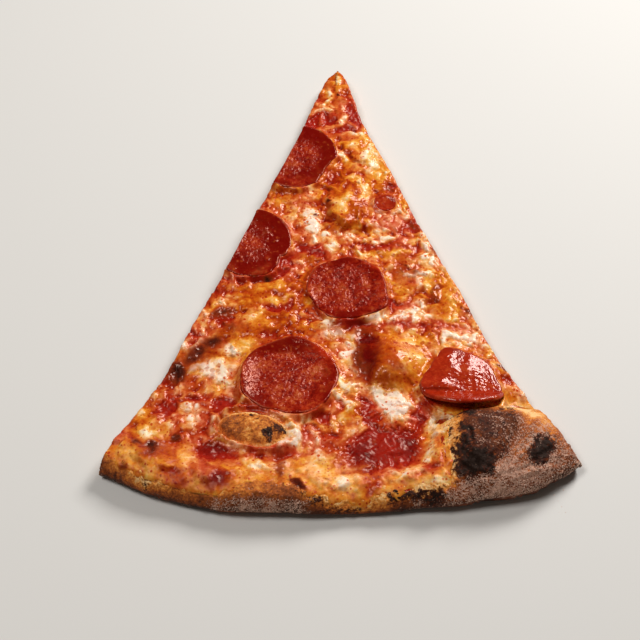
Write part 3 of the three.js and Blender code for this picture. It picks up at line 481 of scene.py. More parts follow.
def cut_x(side, down):
    """Where a cut runs at a distance down from the tip, on the left (-1) or right (1)."""
    blunt = TIP_BLUNT["extra"] * (1 - np.exp(-down / TIP_BLUNT["round"]))
    blunt = blunt * np.exp(-((down / TIP_BLUNT["reach"]) ** 2))
    wave = CUT_WAVE["size"] * np.sin(down / CUT_WAVE["spacing"] + side)
    bow = CUT_BOW["inwards"] * np.sin(np.pi * np.clip(down / CUT_BOW["length"], 0, 1))
    flare = CUT_FLARE[side] * smoothstep(down, CUT_FLARE["from"], CUT_FLARE["to"])
    wander = (wave - bow) * smoothstep(down, 0, TIP_BLUNT["reach"])
    half = down * CUT_SLOPE + blunt + flare + wander
    return side * half + TIP_LEAN["shift"] * np.exp(-down / TIP_LEAN["reach"])


ROUND_FROM, ROUND_TO = 60, 150      # rows turn from straight ones into arcs of the pie


def plan_point(u, down):
    """Plan position of a place u from the left cut (-1) to the right (1), this far down."""
    left, right = cut_x(-1, down), cut_x(1, down)
    straight_x = lerp(left, right, (u + 1) / 2)
    steps = np.arange(0, 245, 0.5)
    angles = []
    for side in (-1, 1):
        x = cut_x(side, steps)
        angles.append(np.interp(down, np.hypot(x, steps), np.arctan2(x, steps)))
    angle = lerp(angles[0], angles[1], (u + 1) / 2)
    bend = smoothstep(down, ROUND_FROM, ROUND_TO)
    return (lerp(straight_x, down * np.sin(angle), bend),
            lerp(-down, -down * np.cos(angle), bend))


def polar(x, y):
    return np.degrees(np.arctan2(x, -y)), np.hypot(x, y)


def swell(angle):
    return smoothstep(angle, *BLISTER_FROM)


def crown_radius(angle):
    return around(CRUST_RADIUS, angle) - lerp(CROWN_IN, BLISTER_CROWN_IN, swell(angle))


def nose_top(angle):
    return NOSE_HEIGHT * around(CROWN_HEIGHT, angle) + NOSE_WALL


def crust_rise(x, y):
    """Height of the dough's upper skin up to the crown of the rim."""
    angle, radius = polar(x, y)
    foot = around(CRUST_FOOT, angle)
    climb = np.clip((radius - foot) / (crown_radius(angle) - foot), 0, 1)
    plain = smoothstep(climb, 0, 1)
    puffed = np.sqrt(1 - (1 - climb) ** 2)
    z = DOUGH + (around(CROWN_HEIGHT, angle) - DOUGH) * lerp(plain, puffed, swell(angle))
    return z + swell(angle) * mound(BLISTER_CREASE, x, y)


def blister_end(x, y, z):
    """The big blister rounds down to its end on the right."""
    angle, radius = polar(x, y)
    at_end = smoothstep(radius, BLISTER_END["from"], BLISTER_END["to"]) * swell(angle)
    fall = 1 - np.clip((cut_x(1, -y) - x) / BLISTER_END["width"], 0, 1)
    end = np.minimum(z, BLISTER_END["height"])
    return lerp(z, end + (z - end) * np.sqrt(1 - fall**2), at_end)


def past_cheese(x, y):
    """How far each point lies outside the cheese's edge, or inside it where below 0."""
    angle, radius = polar(x, y)
    out, within = np.full_like(x, 99.0), np.full_like(x, 99.0)
    for turn in np.arange(-4, 4.1, 0.5):
        aside = np.radians(turn) * radius
        gap = radius - around(CHEESE_EDGE, angle + turn)
        out = np.minimum(out, np.hypot(aside, np.maximum(gap, 0)))
        within = np.minimum(within, np.hypot(aside, np.maximum(-gap, 0)))
    return out - within


def dough_top(x, y):
    """Height of the dough's upper skin, over the crown and down to the nose."""
    angle, radius = polar(x, y)
    crown, outer, nose = crown_radius(angle), around(CRUST_RADIUS, angle), nose_top(angle)
    over = np.clip((radius - crown) / (outer - crown), 0, 1)
    z = nose + (crust_rise(x, y) - nose) * np.sqrt(1 - over**2)
    return blister_end(x, y, z) + swelling(COVERED_BUBBLE, x, y)


def bubble_rise(x, y):
    return BARE_BUBBLE[5] * np.sqrt(np.clip(1 - ellipse(BARE_BUBBLE, x, y) ** 2, 0, 1))


def dough_under(x, y):
    angle, radius = polar(x, y)
    lift = np.clip((radius - around(CRUST_RADIUS, angle) + NOSE_UNDER) / NOSE_UNDER, 0, 1)
    return np.maximum(0, nose_top(angle) - 2 * NOSE_WALL) * (1 - np.sqrt(1 - lift**2))


# ---- meshes -----------------------------------------------------------------------------


def deselect():
    for piece in bpy.context.selected_objects:
        piece.select_set(False)


def sheet(name, spacing, length, margin):
    """A flat sheet of squares with the slice's outline, wider than it by margin at each cut.
    X runs across and -Y down from the tip, in millimetres."""
    deselect()
    width = 2 * (length * CUT_SLOPE + margin)
    across, along = round(width / spacing), round(length / spacing)
    bpy.ops.mesh.primitive_grid_add(x_subdivisions=across, y_subdivisions=along, size=1)
    piece = bpy.context.object
    piece.name = piece.data.name = name
    bpy.ops.object.mode_set(mode="EDIT")
    bpy.ops.mesh.select_all(action="SELECT")
    bpy.ops.transform.resize(value=(width, length, 1))
    bpy.ops.transform.translate(value=(0, -length / 2, 0))
    for side in (-1, 1):
        bpy.ops.mesh.select_all(action="SELECT")
        bpy.ops.mesh.bisect(plane_co=(side * margin, 0, 0), plane_no=(side, CUT_SLOPE, 0),
                            clear_outer=True, threshold=spacing / 20)
    bpy.ops.object.mode_set(mode="OBJECT")
    return piece


def refine(piece, chosen, cuts):
    """Divides the squares that chosen(x, down) picks into smaller ones."""
    mesh = piece.data
    centres = np.zeros(len(mesh.polygons) * 3)
    mesh.polygons.foreach_get("center", centres)
    centres = centres.reshape(-1, 3)
    for part in (mesh.polygons, mesh.edges, mesh.vertices):
        part.foreach_set("select", np.zeros(len(part), bool))
    mesh.polygons.foreach_set("select", chosen(centres[:, 0], -centres[:, 1]))
    bpy.ops.object.mode_set(mode="EDIT")
    bpy.ops.mesh.select_mode(type="FACE")
    bpy.ops.mesh.subdivide(number_cuts=cuts, quadcorner="INNERVERT")
    bpy.ops.object.mode_set(mode="OBJECT")


def points(piece):
    co = np.zeros(len(piece.data.vertices) * 3)
    piece.data.vertices.foreach_get("co", co)
    return co.reshape(-1, 3)


def move(piece, x, y, z):
    piece.data.vertices.foreach_set("co", np.stack([x, y, z], 1).ravel())
    piece.data.update()


def normals(piece):
    found = np.zeros(len(piece.data.vertices) * 3)
    piece.data.vertices.foreach_get("normal", found)
    return found.reshape(-1, 3)


def paint(piece, **layers):
    """Stores a number for each point, for the piece's finish."""
    for name, values in layers.items():
        layer = piece.data.attributes.new(name, "FLOAT", "POINT")
        layer.data.foreach_set("value", np.asarray(values, np.float32))


def drop(piece, unwanted):
    """Deletes the points that unwanted marks."""
    deselect()
    bpy.context.view_layer.objects.active = piece
    for part in (piece.data.polygons, piece.data.edges):
        part.foreach_set("select", np.zeros(len(part), bool))
    piece.data.vertices.foreach_set("select", unwanted)
    bpy.ops.object.mode_set(mode="EDIT")
    bpy.ops.mesh.select_mode(type="VERT")
    bpy.ops.mesh.delete(type="VERT")
    bpy.ops.object.mode_set(mode="OBJECT")


def rim_loop(bm):
    """The vertices of the longest open edge, in order."""
    left = {e for e in bm.edges if e.is_boundary}
    best = []
    while left:
        edge = left.pop()
        start, here = edge.verts
        loop = [start, here]
        while here is not start:
            edge = next(e for e in here.link_edges if e in left)
            left.remove(edge)
            here = edge.other_vert(here)
            loop.append(here)
        best = max(best, loop[:-1], key=len)
    return best


def add_middle(bm, verts):
    """A new vertex midway between others, painted as they are on average."""
    middle = bm.verts.new(sum((vert.co for vert in verts), Vector()) / len(verts))
    for layer in bm.verts.layers.float.values():
        middle[layer] = sum(vert[layer] for vert in verts) / len(verts)
    return middle


def fan(bm, ring, corners):
    """Fills a ring of vertices with triangles round the middle of its corners."""
    hub = add_middle(bm, corners)
    for pair in zip(ring, ring[1:] + ring[:1]):
        bm.faces.new((hub, *pair))


def fill_slits(bm):
    """Closes what still stands open, such as a slit at the tip. Each open ring is walked
    against its faces' own direction, so that what fills it faces the same way."""
    crowded = [face for edge in bm.edges if len(edge.link_faces) > 2 for face in edge.link_faces]
    bmesh.ops.delete(bm, geom=list(dict.fromkeys(crowded)), context="FACES")
    bmesh.ops.recalc_face_normals(bm, faces=bm.faces)
    ways = {}
    for edge in bm.edges:
        if edge.is_boundary:
            corner = edge.link_loops[0]
            ways.setdefault(corner.link_loop_next.vert, []).append(corner.vert)
    for start in ways:
        path = [start]
        while ways.get(path[-1]):
            ahead = ways[path[-1]].pop()
            if ahead in path:
                ring = path[path.index(ahead):]
                path = path[:path.index(ahead) + 1]
                fan(bm, ring, ring)
            else:
                path.append(ahead)
    still_open = [edge for edge in bm.edges if edge.is_boundary]
    filled = bmesh.ops.holes_fill(bm, edges=still_open, sides=0)["faces"]
    bmesh.ops.triangulate(bm, faces=filled)


def drop_islands(bm, start):
    """Deletes all that isn't joined to a vertex."""
    joined = ahead = {start}
    while ahead:
        walls = (edge for vert in ahead for edge in vert.link_edges if edge.link_faces)
        ahead = {vert for edge in walls for vert in edge.verts} - joined
        joined = joined | ahead
    apart = [vert for vert in bm.verts if vert not in joined]
    bmesh.ops.delete(bm, geom=apart, context="VERTS")


def close_under(piece, under, spacing, skin=None):
    """Closes a folded sheet from below, with a surface of height under(x, y). skin(x, y) gives
    the numbers that this surface is painted with."""
    bm = bmesh.new()
    bm.from_mesh(piece.data)
    bmesh.ops.remove_doubles(bm, verts=bm.verts, dist=1e-4)
    bmesh.ops.triangulate(bm, faces=bm.faces)
    loop = rim_loop(bm)
    drop_islands(bm, loop[0])
    outline = [Vector(v.co.xy) for v in loop]
    low = np.array([v.co.xy for v in loop]).min(0)
    high = np.array([v.co.xy for v in loop]).max(0)
    inner = []
    for j, y in enumerate(np.arange(low[1], high[1], spacing)):
        for x in np.arange(low[0] + (j % 2) * spacing / 2, high[0], spacing):
            inner.append(Vector((x, y)))
    count = len(outline)
    edges = [(i, (i + 1) % count) for i in range(count)]
    flat, _, faces, origin, _, _ = delaunay_2d_cdt(outline + inner, edges, [], 1, 1e-6)
    x, y = np.array([p.x for p in flat]), np.array([p.y for p in flat])
    heights = under(x, y)
    painted = skin(x, y) if skin else {}
    layers = [(bm.verts.layers.float[name], values) for name, values in painted.items()]
    verts = []
    for number, known in enumerate(origin):
        outer = [i for i in known if i < count]
        place = (x[number], y[number], heights[number])
        verts.append(loop[outer[0]] if outer else bm.verts.new(place))
        for layer, values in layers:
            verts[-1][layer] = values[number]
    flats = [[verts[i] for i in face] for face in faces if len({verts[i] for i in face}) == 3]

    # where the folded sheet already runs from one rim vertex to another, the two surfaces
    # share no face or edge: a face of both is left out, and such an edge gets a middle
    ears = [bm.faces.get(corners) for corners in flats]
    bmesh.ops.delete(bm, geom=[ear for ear in ears if ear], context="FACES_KEEP_BOUNDARY")
    near = (edge for vert in loop for edge in vert.link_edges)
    taken = {frozenset(edge.verts) for edge in near if len(edge.link_faces) > 1}
    middles = {}
    for corners in (corners for corners, ear in zip(flats, ears) if not ear):
        ring = []
        for pair in zip(corners, corners[1:] + corners[:1]):
            ring.append(pair[0])
            if frozenset(pair) in taken:
                if frozenset(pair) not in middles:
                    middles[frozenset(pair)] = add_middle(bm, pair)
                ring.append(middles[frozenset(pair)])
        if len(ring) > 3:
            fan(bm, ring, corners)
        else:
            bm.faces.new(ring)
    fill_slits(bm)
    if bm.calc_volume(signed=True) < 0:
        bmesh.ops.reverse_faces(bm, faces=bm.faces)
    bm.to_mesh(piece.data)
    bm.free()


def finish_piece(piece, material, node):
    """Puts a finished piece in the part's frame, in metres, in place of its solid."""
    x, y, z = (points(piece) + PIE_CENTRE).T * MM
    move(piece, x, y, z)
    piece.data.materials.clear()
    piece.data.materials.append(material)
    piece.data.shade_smooth()
    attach(piece, "root")
    if node:
        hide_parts(node)
    return piece


# ---- finishes ---------------------------------------------------------------------------


def colour(code, alpha=1.0):
    """A linear colour from an sRGB hex value."""
    parts = (int(code[i:i + 2], 16) / 255 for i in (1, 3, 5))
    return (*(c / 12.92 if c <= 0.04045 else ((c + 0.055) / 1.055) ** 2.4 for c in parts), alpha)


def add_node(tree, kind, inputs=None, **settings):
    """Adds a node. inputs gives each input, by name or number, a value or another output."""
    made = tree.nodes.new(kind)
    for key, value in settings.items():
        setattr(made, key, value)
    for key, value in (inputs or {}).items():
        if isinstance(value, bpy.types.NodeSocket):
            tree.links.new(value, made.inputs[key])
        else:
            made.inputs[key].default_value = value
    return made


def new_finish(name, **shader):
    """A material with its shader's uniform values set, ready for its pattern."""
    material = bpy.data.materials.new(name)
    material.use_nodes = True
    tree = material.node_tree
    principled = tree.nodes["Principled BSDF"]
    for key, value in shader.items():
        principled.inputs[key.replace("_", " ")].default_value = value
    return material, tree, principled


def plain_finish(name, code, roughness):
    """A dry, matte material of one colour."""
    return new_finish(name, Roughness=roughness, Base_Color=colour(code))[0]


def blend(tree, share, under, over, way="MIX"):
    """Mixes two colours by a share."""
    made = add_node(tree, "ShaderNodeMix", {0: share, 6: under, 7: over}, data_type="RGBA",
                    blend_type=way)
    return made.outputs[2]


def stain(tree, share, under, over):
    """Darkens a colour by another one, by a share."""
    return blend(tree, share, under, over, "MULTIPLY")


def share_of(tree, value, low, high):
    """A value stretched so that low is 0 and high is 1, with soft ends."""
    made = add_node(tree, "ShaderNodeMapRange",
                    {"Value": value, "From Min": low, "From Max": high},
                    interpolation_type="SMOOTHSTEP")
    return made.outputs[0]


def calc(tree, operation, a, b):
    made = add_node(tree, "ShaderNodeMath", {0: a, 1: b}, operation=operation)
    return made.outputs[0]


def times(tree, a, b):
    return calc(tree, "MULTIPLY", a, b)


def layer_of(tree, name):
    """A number that is painted on the piece."""
    return add_node(tree, "ShaderNodeAttribute", attribute_name=name).outputs["Fac"]


def object_place(tree):
    return add_node(tree, "ShaderNodeTexCoord").outputs["Object"]


def grain(tree, where, size, detail=2.0, distortion=0.0):
    """Noise with lumps of a size in millimetres, from 0 to 1."""
    made = add_node(tree, "ShaderNodeTexNoise", {"Vector": where, "Scale": 1 / (size * MM),
                                                 "Detail": detail, "Distortion": distortion})
    return made.outputs["Fac"]


def spots(tree, where, size, kept, soft):
    """Round spots scattered a size in millimetres apart, 1 in their middle. Of all the
    places, the share kept has one, and none is wider than soft allows."""
    cell = add_node(tree, "ShaderNodeTexVoronoi", {"Vector": where, "Scale": 1 / (size * MM)})
    mark = add_node(tree, "ShaderNodeSeparateColor", {0: cell.outputs["Color"]}).outputs[0]
    reach = times(tree, calc(tree, "SUBTRACT", kept, mark), 0.6 / kept)
    return share_of(tree, calc(tree, "SUBTRACT", reach, cell.outputs["Distance"]), -soft, soft)


def wobble(tree, value, pattern, amount):
    """A value pushed up and down by a pattern that runs from 0 to 1."""
    lowest = calc(tree, "SUBTRACT", value, amount / 2)
    made = add_node(tree, "ShaderNodeMath", {0: pattern, 1: amount, 2: lowest},
                    operation="MULTIPLY_ADD")
    return made.outputs[0]


def wobbled(tree, name, *patterns):
    """A painted number, wobbled by one pattern after another."""
    value = layer_of(tree, name)
    for pattern, amount in patterns:
        value = wobble(tree, value, pattern, amount)
    return value


def ramp(tree, value, stops):
    """A colour read off a scale of (place, sRGB hex) stops."""
    made = add_node(tree, "ShaderNodeValToRGB", {"Fac": value})
    scale = made.color_ramp.elements
    for number, (place, code) in enumerate(stops):
        stop = scale[number] if number < 2 else scale.new(place)
        stop.position, stop.color = place, colour(code)
    return made.outputs["Color"]


def roughen(tree, shader, height, strength, depth):
    """Gives a surface a fine relief, its depth in millimetres."""
    bump = add_node(tree, "ShaderNodeBump",
                    {"Height": height, "Strength": strength, "Distance": depth * MM})
    tree.links.new(bump.outputs[0], shader.inputs["Normal"])


# Cheese from where it is thinnest over the sauce to where it is thickest: stained by oil
# from the sausage, and clean but mixed with sauce.
GOLDEN = ((0.0, "#921b04"), (0.14, "#a63406"), (0.28, "#bb4b08"), (0.42, "#cc6411"),
          (0.56, "#dd8222"), (0.7, "#eaa03c"), (0.84, "#f5be72"), (1.0, "#fce2bc"))
ROSY = ((0.0, "#9e1807"), (0.14, "#b02c0f"), (0.28, "#bc3e1c"), (0.42, "#c6502f"),
        (0.56, "#d7714a"), (0.7, "#e8956e"), (0.84, "#f4ba96"), (1.0, "#fde2ce"))
BAKED = ((0.0, "#efbe80"), (0.14, "#de9040"), (0.28, "#c26a26"), (0.42, "#9a4e20"),
         (0.56, "#7a3a18"), (0.7, "#5c2a12"), (0.85, "#401c0e"), (1.0, "#281008"))
LEAN = ((0.25, "#6c0602"), (0.42, "#861305"), (0.56, "#97220b"), (0.7, "#a83a17"),
        (0.85, "#b4532a"))
WET = 0.2                           # roughness of the oiled cheese, before pulp and dry parts
TOASTED = ((0.0, "#b44a0e"), (0.35, "#94340d"), (0.7, "#6c220c"), (1.0, "#42140a"))


def cheese_finish():
    """Low-moisture mozzarella, melted and oiled: creamy where thick and fresh, golden to
    orange where oil from the sausage stains it, red where the sauce comes through, brown
    where it blistered. Softly translucent, with a wet and slightly pitted skin."""
    material, tree, shader = new_finish(
        "melted mozzarella", Roughness=WET, IOR=1.4, Specular_Tint=colour("#ffd8c4"),
        Subsurface_Weight=0.25, Subsurface_Scale=0.001, Subsurface_Radius=(1.0, 0.6, 0.4))
    where = object_place(tree)
    fine = grain(tree, where, 1.0, 2, 0.4)
    lumps = grain(tree, where, 2.6, 2, 0.6)
    wet = grain(tree, where, 1.4, 0)
    level = wobbled(tree, "level", (lumps, 0.3), (fine, 0.28))
    skin = blend(tree, wobbled(tree, "rosy", (lumps, 0.8)), ramp(tree, level, GOLDEN),
                 ramp(tree, level, ROSY))
    freckles = times(tree, spots(tree, where, 2.2, 0.55, 0.1), layer_of(tree, "freckle"))
    skin = stain(tree, freckles, skin, colour("#cc7434"))
    specks = times(tree, spots(tree, where, 1.2, 0.6, 0.12),
                   share_of(tree, lumps, 0.4, 0.62))
    skin = stain(tree, specks, skin, colour("#dc7c40"))
    # painted shade on the dark flanks of lobes and of the covered bubble and in creases, partly
    # oil that browned
    skin = stain(tree, wobbled(tree, "deep", (lumps, 0.5)), skin, colour("#b4562e"))
    toast = times(tree, layer_of(tree, "toast"), calc(tree, "ADD", lumps, 0.45))
    brown = blend(tree, share_of(tree, toast, 0.05, 0.7), skin, ramp(tree, toast, TOASTED))
    tree.links.new(brown, shader.inputs["Base Color"])
    roughness = WET
    for name, more in (("pulp", 0.12), ("dry", 0.24)):
        roughness = calc(tree, "ADD", times(tree, layer_of(tree, name), more), roughness)
    tree.links.new(roughness, shader.inputs["Roughness"])
    roughen(tree, shader, wet, 1.0, 0.2)
    return material


def sauce_finish():
    """Crushed tomato, cooked down: deep red with darker pulp and a wet gloss."""
    material, tree, shader = new_finish("tomato sauce", Roughness=0.22, IOR=1.4,
                                        Subsurface_Weight=0.05, Subsurface_Scale=0.001)
    where = object_place(tree)
    pulp = grain(tree, where, 1.6, 3, 0.5)
    base = blend(tree, share_of(tree, pulp, 0.35, 0.65), colour("#6c1004"), colour("#a82a10"))
    tree.links.new(base, shader.inputs["Base Color"])
    roughen(tree, shader, pulp, 0.5, 0.5)
    return material


def crust_finish():
    """Oven-baked wheat dough: tan to brown skin, charred where it blistered, dusted with
    flour and semolina underneath, and a pale open crumb where it is cut. Dry and matte."""
    material, tree, shader = new_finish("baked pizza crust", Roughness=0.7, IOR=1.4,
                                        Specular_Tint=colour("#dcb49c"),
                                        Subsurface_Weight=0.03, Subsurface_Scale=0.001)
    where = object_place(tree)
    fine = grain(tree, where, 0.8, 3, 0.4)
    mid = grain(tree, where, 1.7, 3, 0.3)
    coarse = grain(tree, where, 5.0, 3, 0.3)
    skin = ramp(tree, wobbled(tree, "baked", (mid, 0.34), (fine, 0.64)), BAKED)
    crumb = blend(tree, share_of(tree, mid, 0.35, 0.65), colour("#f2cda0"), colour("#d69a68"))
    skin = blend(tree, layer_of(tree, "crumb"), skin, crumb)
    char = wobbled(tree, "char", (mid, 1.6), (fine, 1.1))
    skin = blend(tree, share_of(tree, char, 0.2, 0.7), skin, colour("#43190d"))
    skin = blend(tree, share_of(tree, char, 0.6, 1.05), skin, colour("#1a0f0c"))
    dust = grain(tree, where, 0.6, 3, 0.2)
    flour = wobbled(tree, "flour", (dust, 2.8), (wobble(tree, coarse, mid, 1.0), 1.6))
    dusted = times(tree, share_of(tree, flour, 0.5, 1.15), 0.8)
    skin = blend(tree, dusted, skin, colour("#cfa088"))
    tree.links.new(skin, shader.inputs["Base Color"])
    roughen(tree, shader, wobble(tree, fine, mid, 1.5), 0.8, 0.4)
    return material


def sausage_finish(name, oily):
    """Cured and spiced sausage, fried in its own fat: paprika red with lighter flecks of
    fat, a darker ring where the edge crisped, widened by painted shade where the cupped edge
    turns away from the light, a lighter red painted where the light falls, and an oily gloss.
    oily is 1 where a film of oil covers all of it."""
    material, tree, shader = new_finish(name, Roughness=0.16, IOR=1.4 + 0.06 * oily,
                                        Specular_Tint=colour("#ffe2d8" if oily else "#ffb298"))
    where = object_place(tree)
    fine = grain(tree, where, 0.55, 2)
    mid = grain(tree, where, 1.7, 3, 0.4)
    coarse = grain(tree, where, 6.0, 2)
    lean = ramp(tree, wobble(tree, wobble(tree, coarse, mid, 0.9), fine, 0.6), LEAN)
    ring = wobbled(tree, "ring", (mid, 0.9), (fine, 0.4))
    # the darker ring: a crisped edge, and painted shade where the cupped edge turns away from the
    # light
    crisp_and_shade = times(tree, share_of(tree, ring, 0.15, 1.1), 0.88)
    skin = blend(tree, crisp_and_shade, lean, colour("#6c0502"))
    fat = times(tree, spots(tree, where, 1.5, 0.45, 0.14), share_of(tree, mid, 0.42, 0.62))
    skin = blend(tree, times(tree, fat, 0.4), skin, colour("#bc5424"))
    # painted light: a lighter red painted where the light falls on the slice
    glow = wobbled(tree, "glow", (mid, 0.5))
    skin = blend(tree, share_of(tree, glow, 0.1, 1.0), skin, colour("#b82c0c"))
    skin = blend(tree, 0.4 * oily, skin, colour("#b8300e"))
    skin = blend(tree, layer_of(tree, "rind"), skin, colour("#9c4028"))
    tree.links.new(skin, shader.inputs["Base Color"])
    dull = share_of(tree, layer_of(tree, "smooth"), 0.9, 0.0)
    dull = calc(tree, "ADD", times(tree, dull, 0.12), 0.16 - 0.02 * oily)
    tree.links.new(wobble(tree, dull, mid, 0.1), shader.inputs["Roughness"])
    bumpy = calc(tree, "SUBTRACT", 1.3, layer_of(tree, "smooth"))
    roughen(tree, shader, times(tree, grain(tree, where, 1.2, 1), bumpy), 1.0, 0.36)
    return material


# ---- crust --------------------------------------------------------------------------------

CRUST_GRID = 2.0                    # squares of the hidden middle
FINER = 3                           # cuts that make the rest four times finer
CRUST_LENGTH = 232                  # unrolled, from the tip over the crown to the nose
RIM_NOMINAL = 227                   # the rim's mean outer radius
RIM_FROM = (150, 180)               # rows ease from plain ones to the rim's outline here
FINE_FROM = 176
CRUST_MARGIN = 4.5
APART = 50                          # both cut sides read a pattern, at places this far apart
SKIN_FROM = (196, 206)              # the rim's relief starts here
CHAR_RELIEF = 0.7
CRUMB_RELIEF = 0.7
WALL_BULGE = 0.35                   # of the cut sides, halfway down
CRUST_UNDER_GRID = 2.5


def near_cut(x, down):
    """Whether a place on a flat sheet is on a cut side or within 1 mm of it."""
    return np.abs(x) > down * CUT_SLOPE - 1


def fold_sheet(piece, margin):
    """For every point of a sheet: u across, distance down, and the share of the way down a
    cut side, which is 0 on the upper side."""
    x, y, _ = points(piece).T
    down = np.maximum(-y, 0)
    half = down * CUT_SLOPE
    u = np.clip(x / np.maximum(half, 1e-6), -1, 1)
    beyond = np.clip((np.abs(x) - half) / margin, 0, 1)
    return np.where(half < 1e-6, np.sign(x), u), down, beyond


def skin_relief(x, y, down, radius, char):
    """Puckers, pimples and creases of the baked skin, rougher where it charred."""
    relief = 0.35 * fractal(x, -down, 7, 21) + 0.16 * fractal(x, -down, 1.6, 27, 2)
    pimples, mark = cells(x, -down, 3.2, 31)
    relief += 0.45 * (mark > 0.6) * smoothstep(-pimples, -0.42, -0.05)
    relief += CHAR_RELIEF * char * fractal(x, -down, 2.4, 41, 3)
    relief = heap(relief, CREASES, x, y)
    on_bubble = smoothstep(-ellipse(BUBBLE_TAN, x, y), -1.05, -0.85)
    return relief * np.maximum(smoothstep(radius, *SKIN_FROM), on_bubble)


def crumb_holes(along, z, side):
    """How open the crumb is on a cut side: small pores, and a few large holes."""
    pores, size = cells(along, z + side * APART, 2.2, 11)
    holes, deep = cells(along + 40, z * 1.3 + side * APART, 4.6, 15)
    small = (size > 0.3) * smoothstep(-pores, -0.5, -0.2)
    return small + 1.4 * (deep > 0.6) * smoothstep(-holes, -0.4, -0.15)


def make_crust(material):
    crust = sheet("crust_baked", CRUST_GRID, CRUST_LENGTH, CRUST_MARGIN)
    refine(crust, lambda x, down: (down > FINE_FROM) | near_cut(x, down), FINER)
    u, down, beyond = fold_sheet(crust, CRUST_MARGIN)
    side = np.sign(u)

    # the upper side, out to the crown, then round the nose in equal steps
    x, y = plan_point(u, down)
    angle, _ = polar(x, y)
    outer = around(CRUST_RADIUS, angle)
    grown = lerp(1, outer / RIM_NOMINAL, smoothstep(down, *RIM_FROM))
    crown = crown_radius(angle)
    at_crown = crown / outer * RIM_NOMINAL
    turn = np.clip((down - at_crown) / (CRUST_LENGTH - at_crown), 0, 1) * np.pi / 2
    radius = np.where(turn > 0, crown + (outer - crown) * np.sin(turn), down * grown)
    x, y = plan_point(u, radius)
    rise = crust_rise(x, y)
    nose = nose_top(angle)
    z = np.where(turn > 0, nose + (rise - nose) * np.cos(turn), rise)
    z = blister_end(x, y, z) + swelling(COVERED_BUBBLE, x, y)
    z = z + bubble_rise(x, y)

    # the cut sides, from the upper edge straight down
    bottom = dough_under(x, y)
    wall_x = x + side * WALL_BULGE * np.sin(beyond * np.pi)
    wall_z = lerp(z, np.minimum(bottom, z), beyond)
    on_wall = beyond > 0
    move(crust, np.where(on_wall, wall_x, x), y, np.where(on_wall, wall_z, z))

    # relief on the skin, and pores in the crumb
    char = char_of(x, y)
    crumb = smoothstep(beyond, 0.0, 0.12) * smoothstep(-beyond, -1.0, -0.85)
    holes = -CRUMB_RELIEF * crumb * crumb_holes(-down, wall_z, side)
    relief = np.where(on_wall, holes, skin_relief(x, y, down, radius, char))
    keep = smoothstep(-turn, -np.pi / 2, -np.pi / 2 + 0.3) * (beyond < 0.99)
    co = points(crust) + normals(crust) * (relief * keep)[:, None]
    move(crust, *co.T)

    baked, flour = crust_skin(x, y, turn, angle, char)
    toward_under = smoothstep(beyond, 0.75, 1.0)
    crumb_share = np.where(swell(angle) > 0.5, 0, crumb)
    paint(crust, baked=np.where(on_wall, lerp(baked, 0.75, toward_under), baked), flour=flour,
          char=char * (beyond < 0.5), crumb=crumb_share * (1 - toward_under))
    close_under(crust, dough_under, CRUST_UNDER_GRID, underside)
    return finish_piece(crust, material, "crust")


CHAR = (
    (52.5, -209.5, 8, 6, 15, 1.3), (49, -203, 4, 6, -10, 1.0), (57, -211, 4, 4, 0, 0.9),
    (51, -197, 1.6, 5, 10, 1.0), (49, -194, 2.4, 3.4, 0, 0.95), (51, -185.5, 4, 2, 10, 1.0),
    (52, -181.5, 5, 2, 15, 0.9), (43.8, -204, 1.7, 1.4, 0, 1.0), (43, -193.5, 1.4, 2.6, 0, 0.8),
    (55.5, -191, 1.8, 2.6, 0, 0.8), (55, -201.5, 4, 4, 0, 0.6), (60, -194, 8, 10, 20, 0.42),
    (58, -186, 6, 2, -10, 0.4), (62, -189, 1.4, 3, 20, 0.8), (67, -188.5, 1.8, 2.4, 0, 0.8),
    (65, -184, 4, 2, 0, 0.55), (63, -204, 2.6, 5, -20, 0.6), (77.8, -203.5, 7.2, 4.6, 48, 1.25),
    (-27, -193.2, 1.7, 2.0, 0, 0.95), (-22.5, -190.6, 3.2, 2.4, -30, 0.7),
    (-20.5, -191.6, 1.0, 1.0, 0, 0.7), (-26.5, -196.3, 1.0, 1.2, 0, 0.7),
    (-24.4, -189.2, 0.9, 1.2, 0, 0.7), (-33, -184.2, 1.0, 1.0, 0, 0.8),
    (-30.5, -186.2, 2, 0.8, -30, 0.5), (34, -221, 9, 2.2, -2, 0.9), (56, -193, 1.6, 3, 20, 0.8),
    (52, -188, 3, 1.6, -20, 0.8), (60, -187, 2, 1.4, 0, 0.7), (64, -193, 1.4, 2.4, -20, 0.75),
    (60, -199, 2.4, 1.4, 30, 0.75), (57, -197, 1.4, 2.2, 0, 0.7), (66, -199, 1.4, 1.2, 0, 0.7),
    (46, -206, 1.2, 2, 0, 0.8), (24, -220, 5, 2.4, 0, 1.0), (-9, -222, 6, 2, -20, 0.5),
    (-73, -216, 3, 1.2, -30, 0.4), (-84, -211, 3, 1.4, -30, 0.4), (-60, -222, 9, 1.4, -20, 0.35),
    (3, -225, 9, 1.6, 0, 0.5),
)
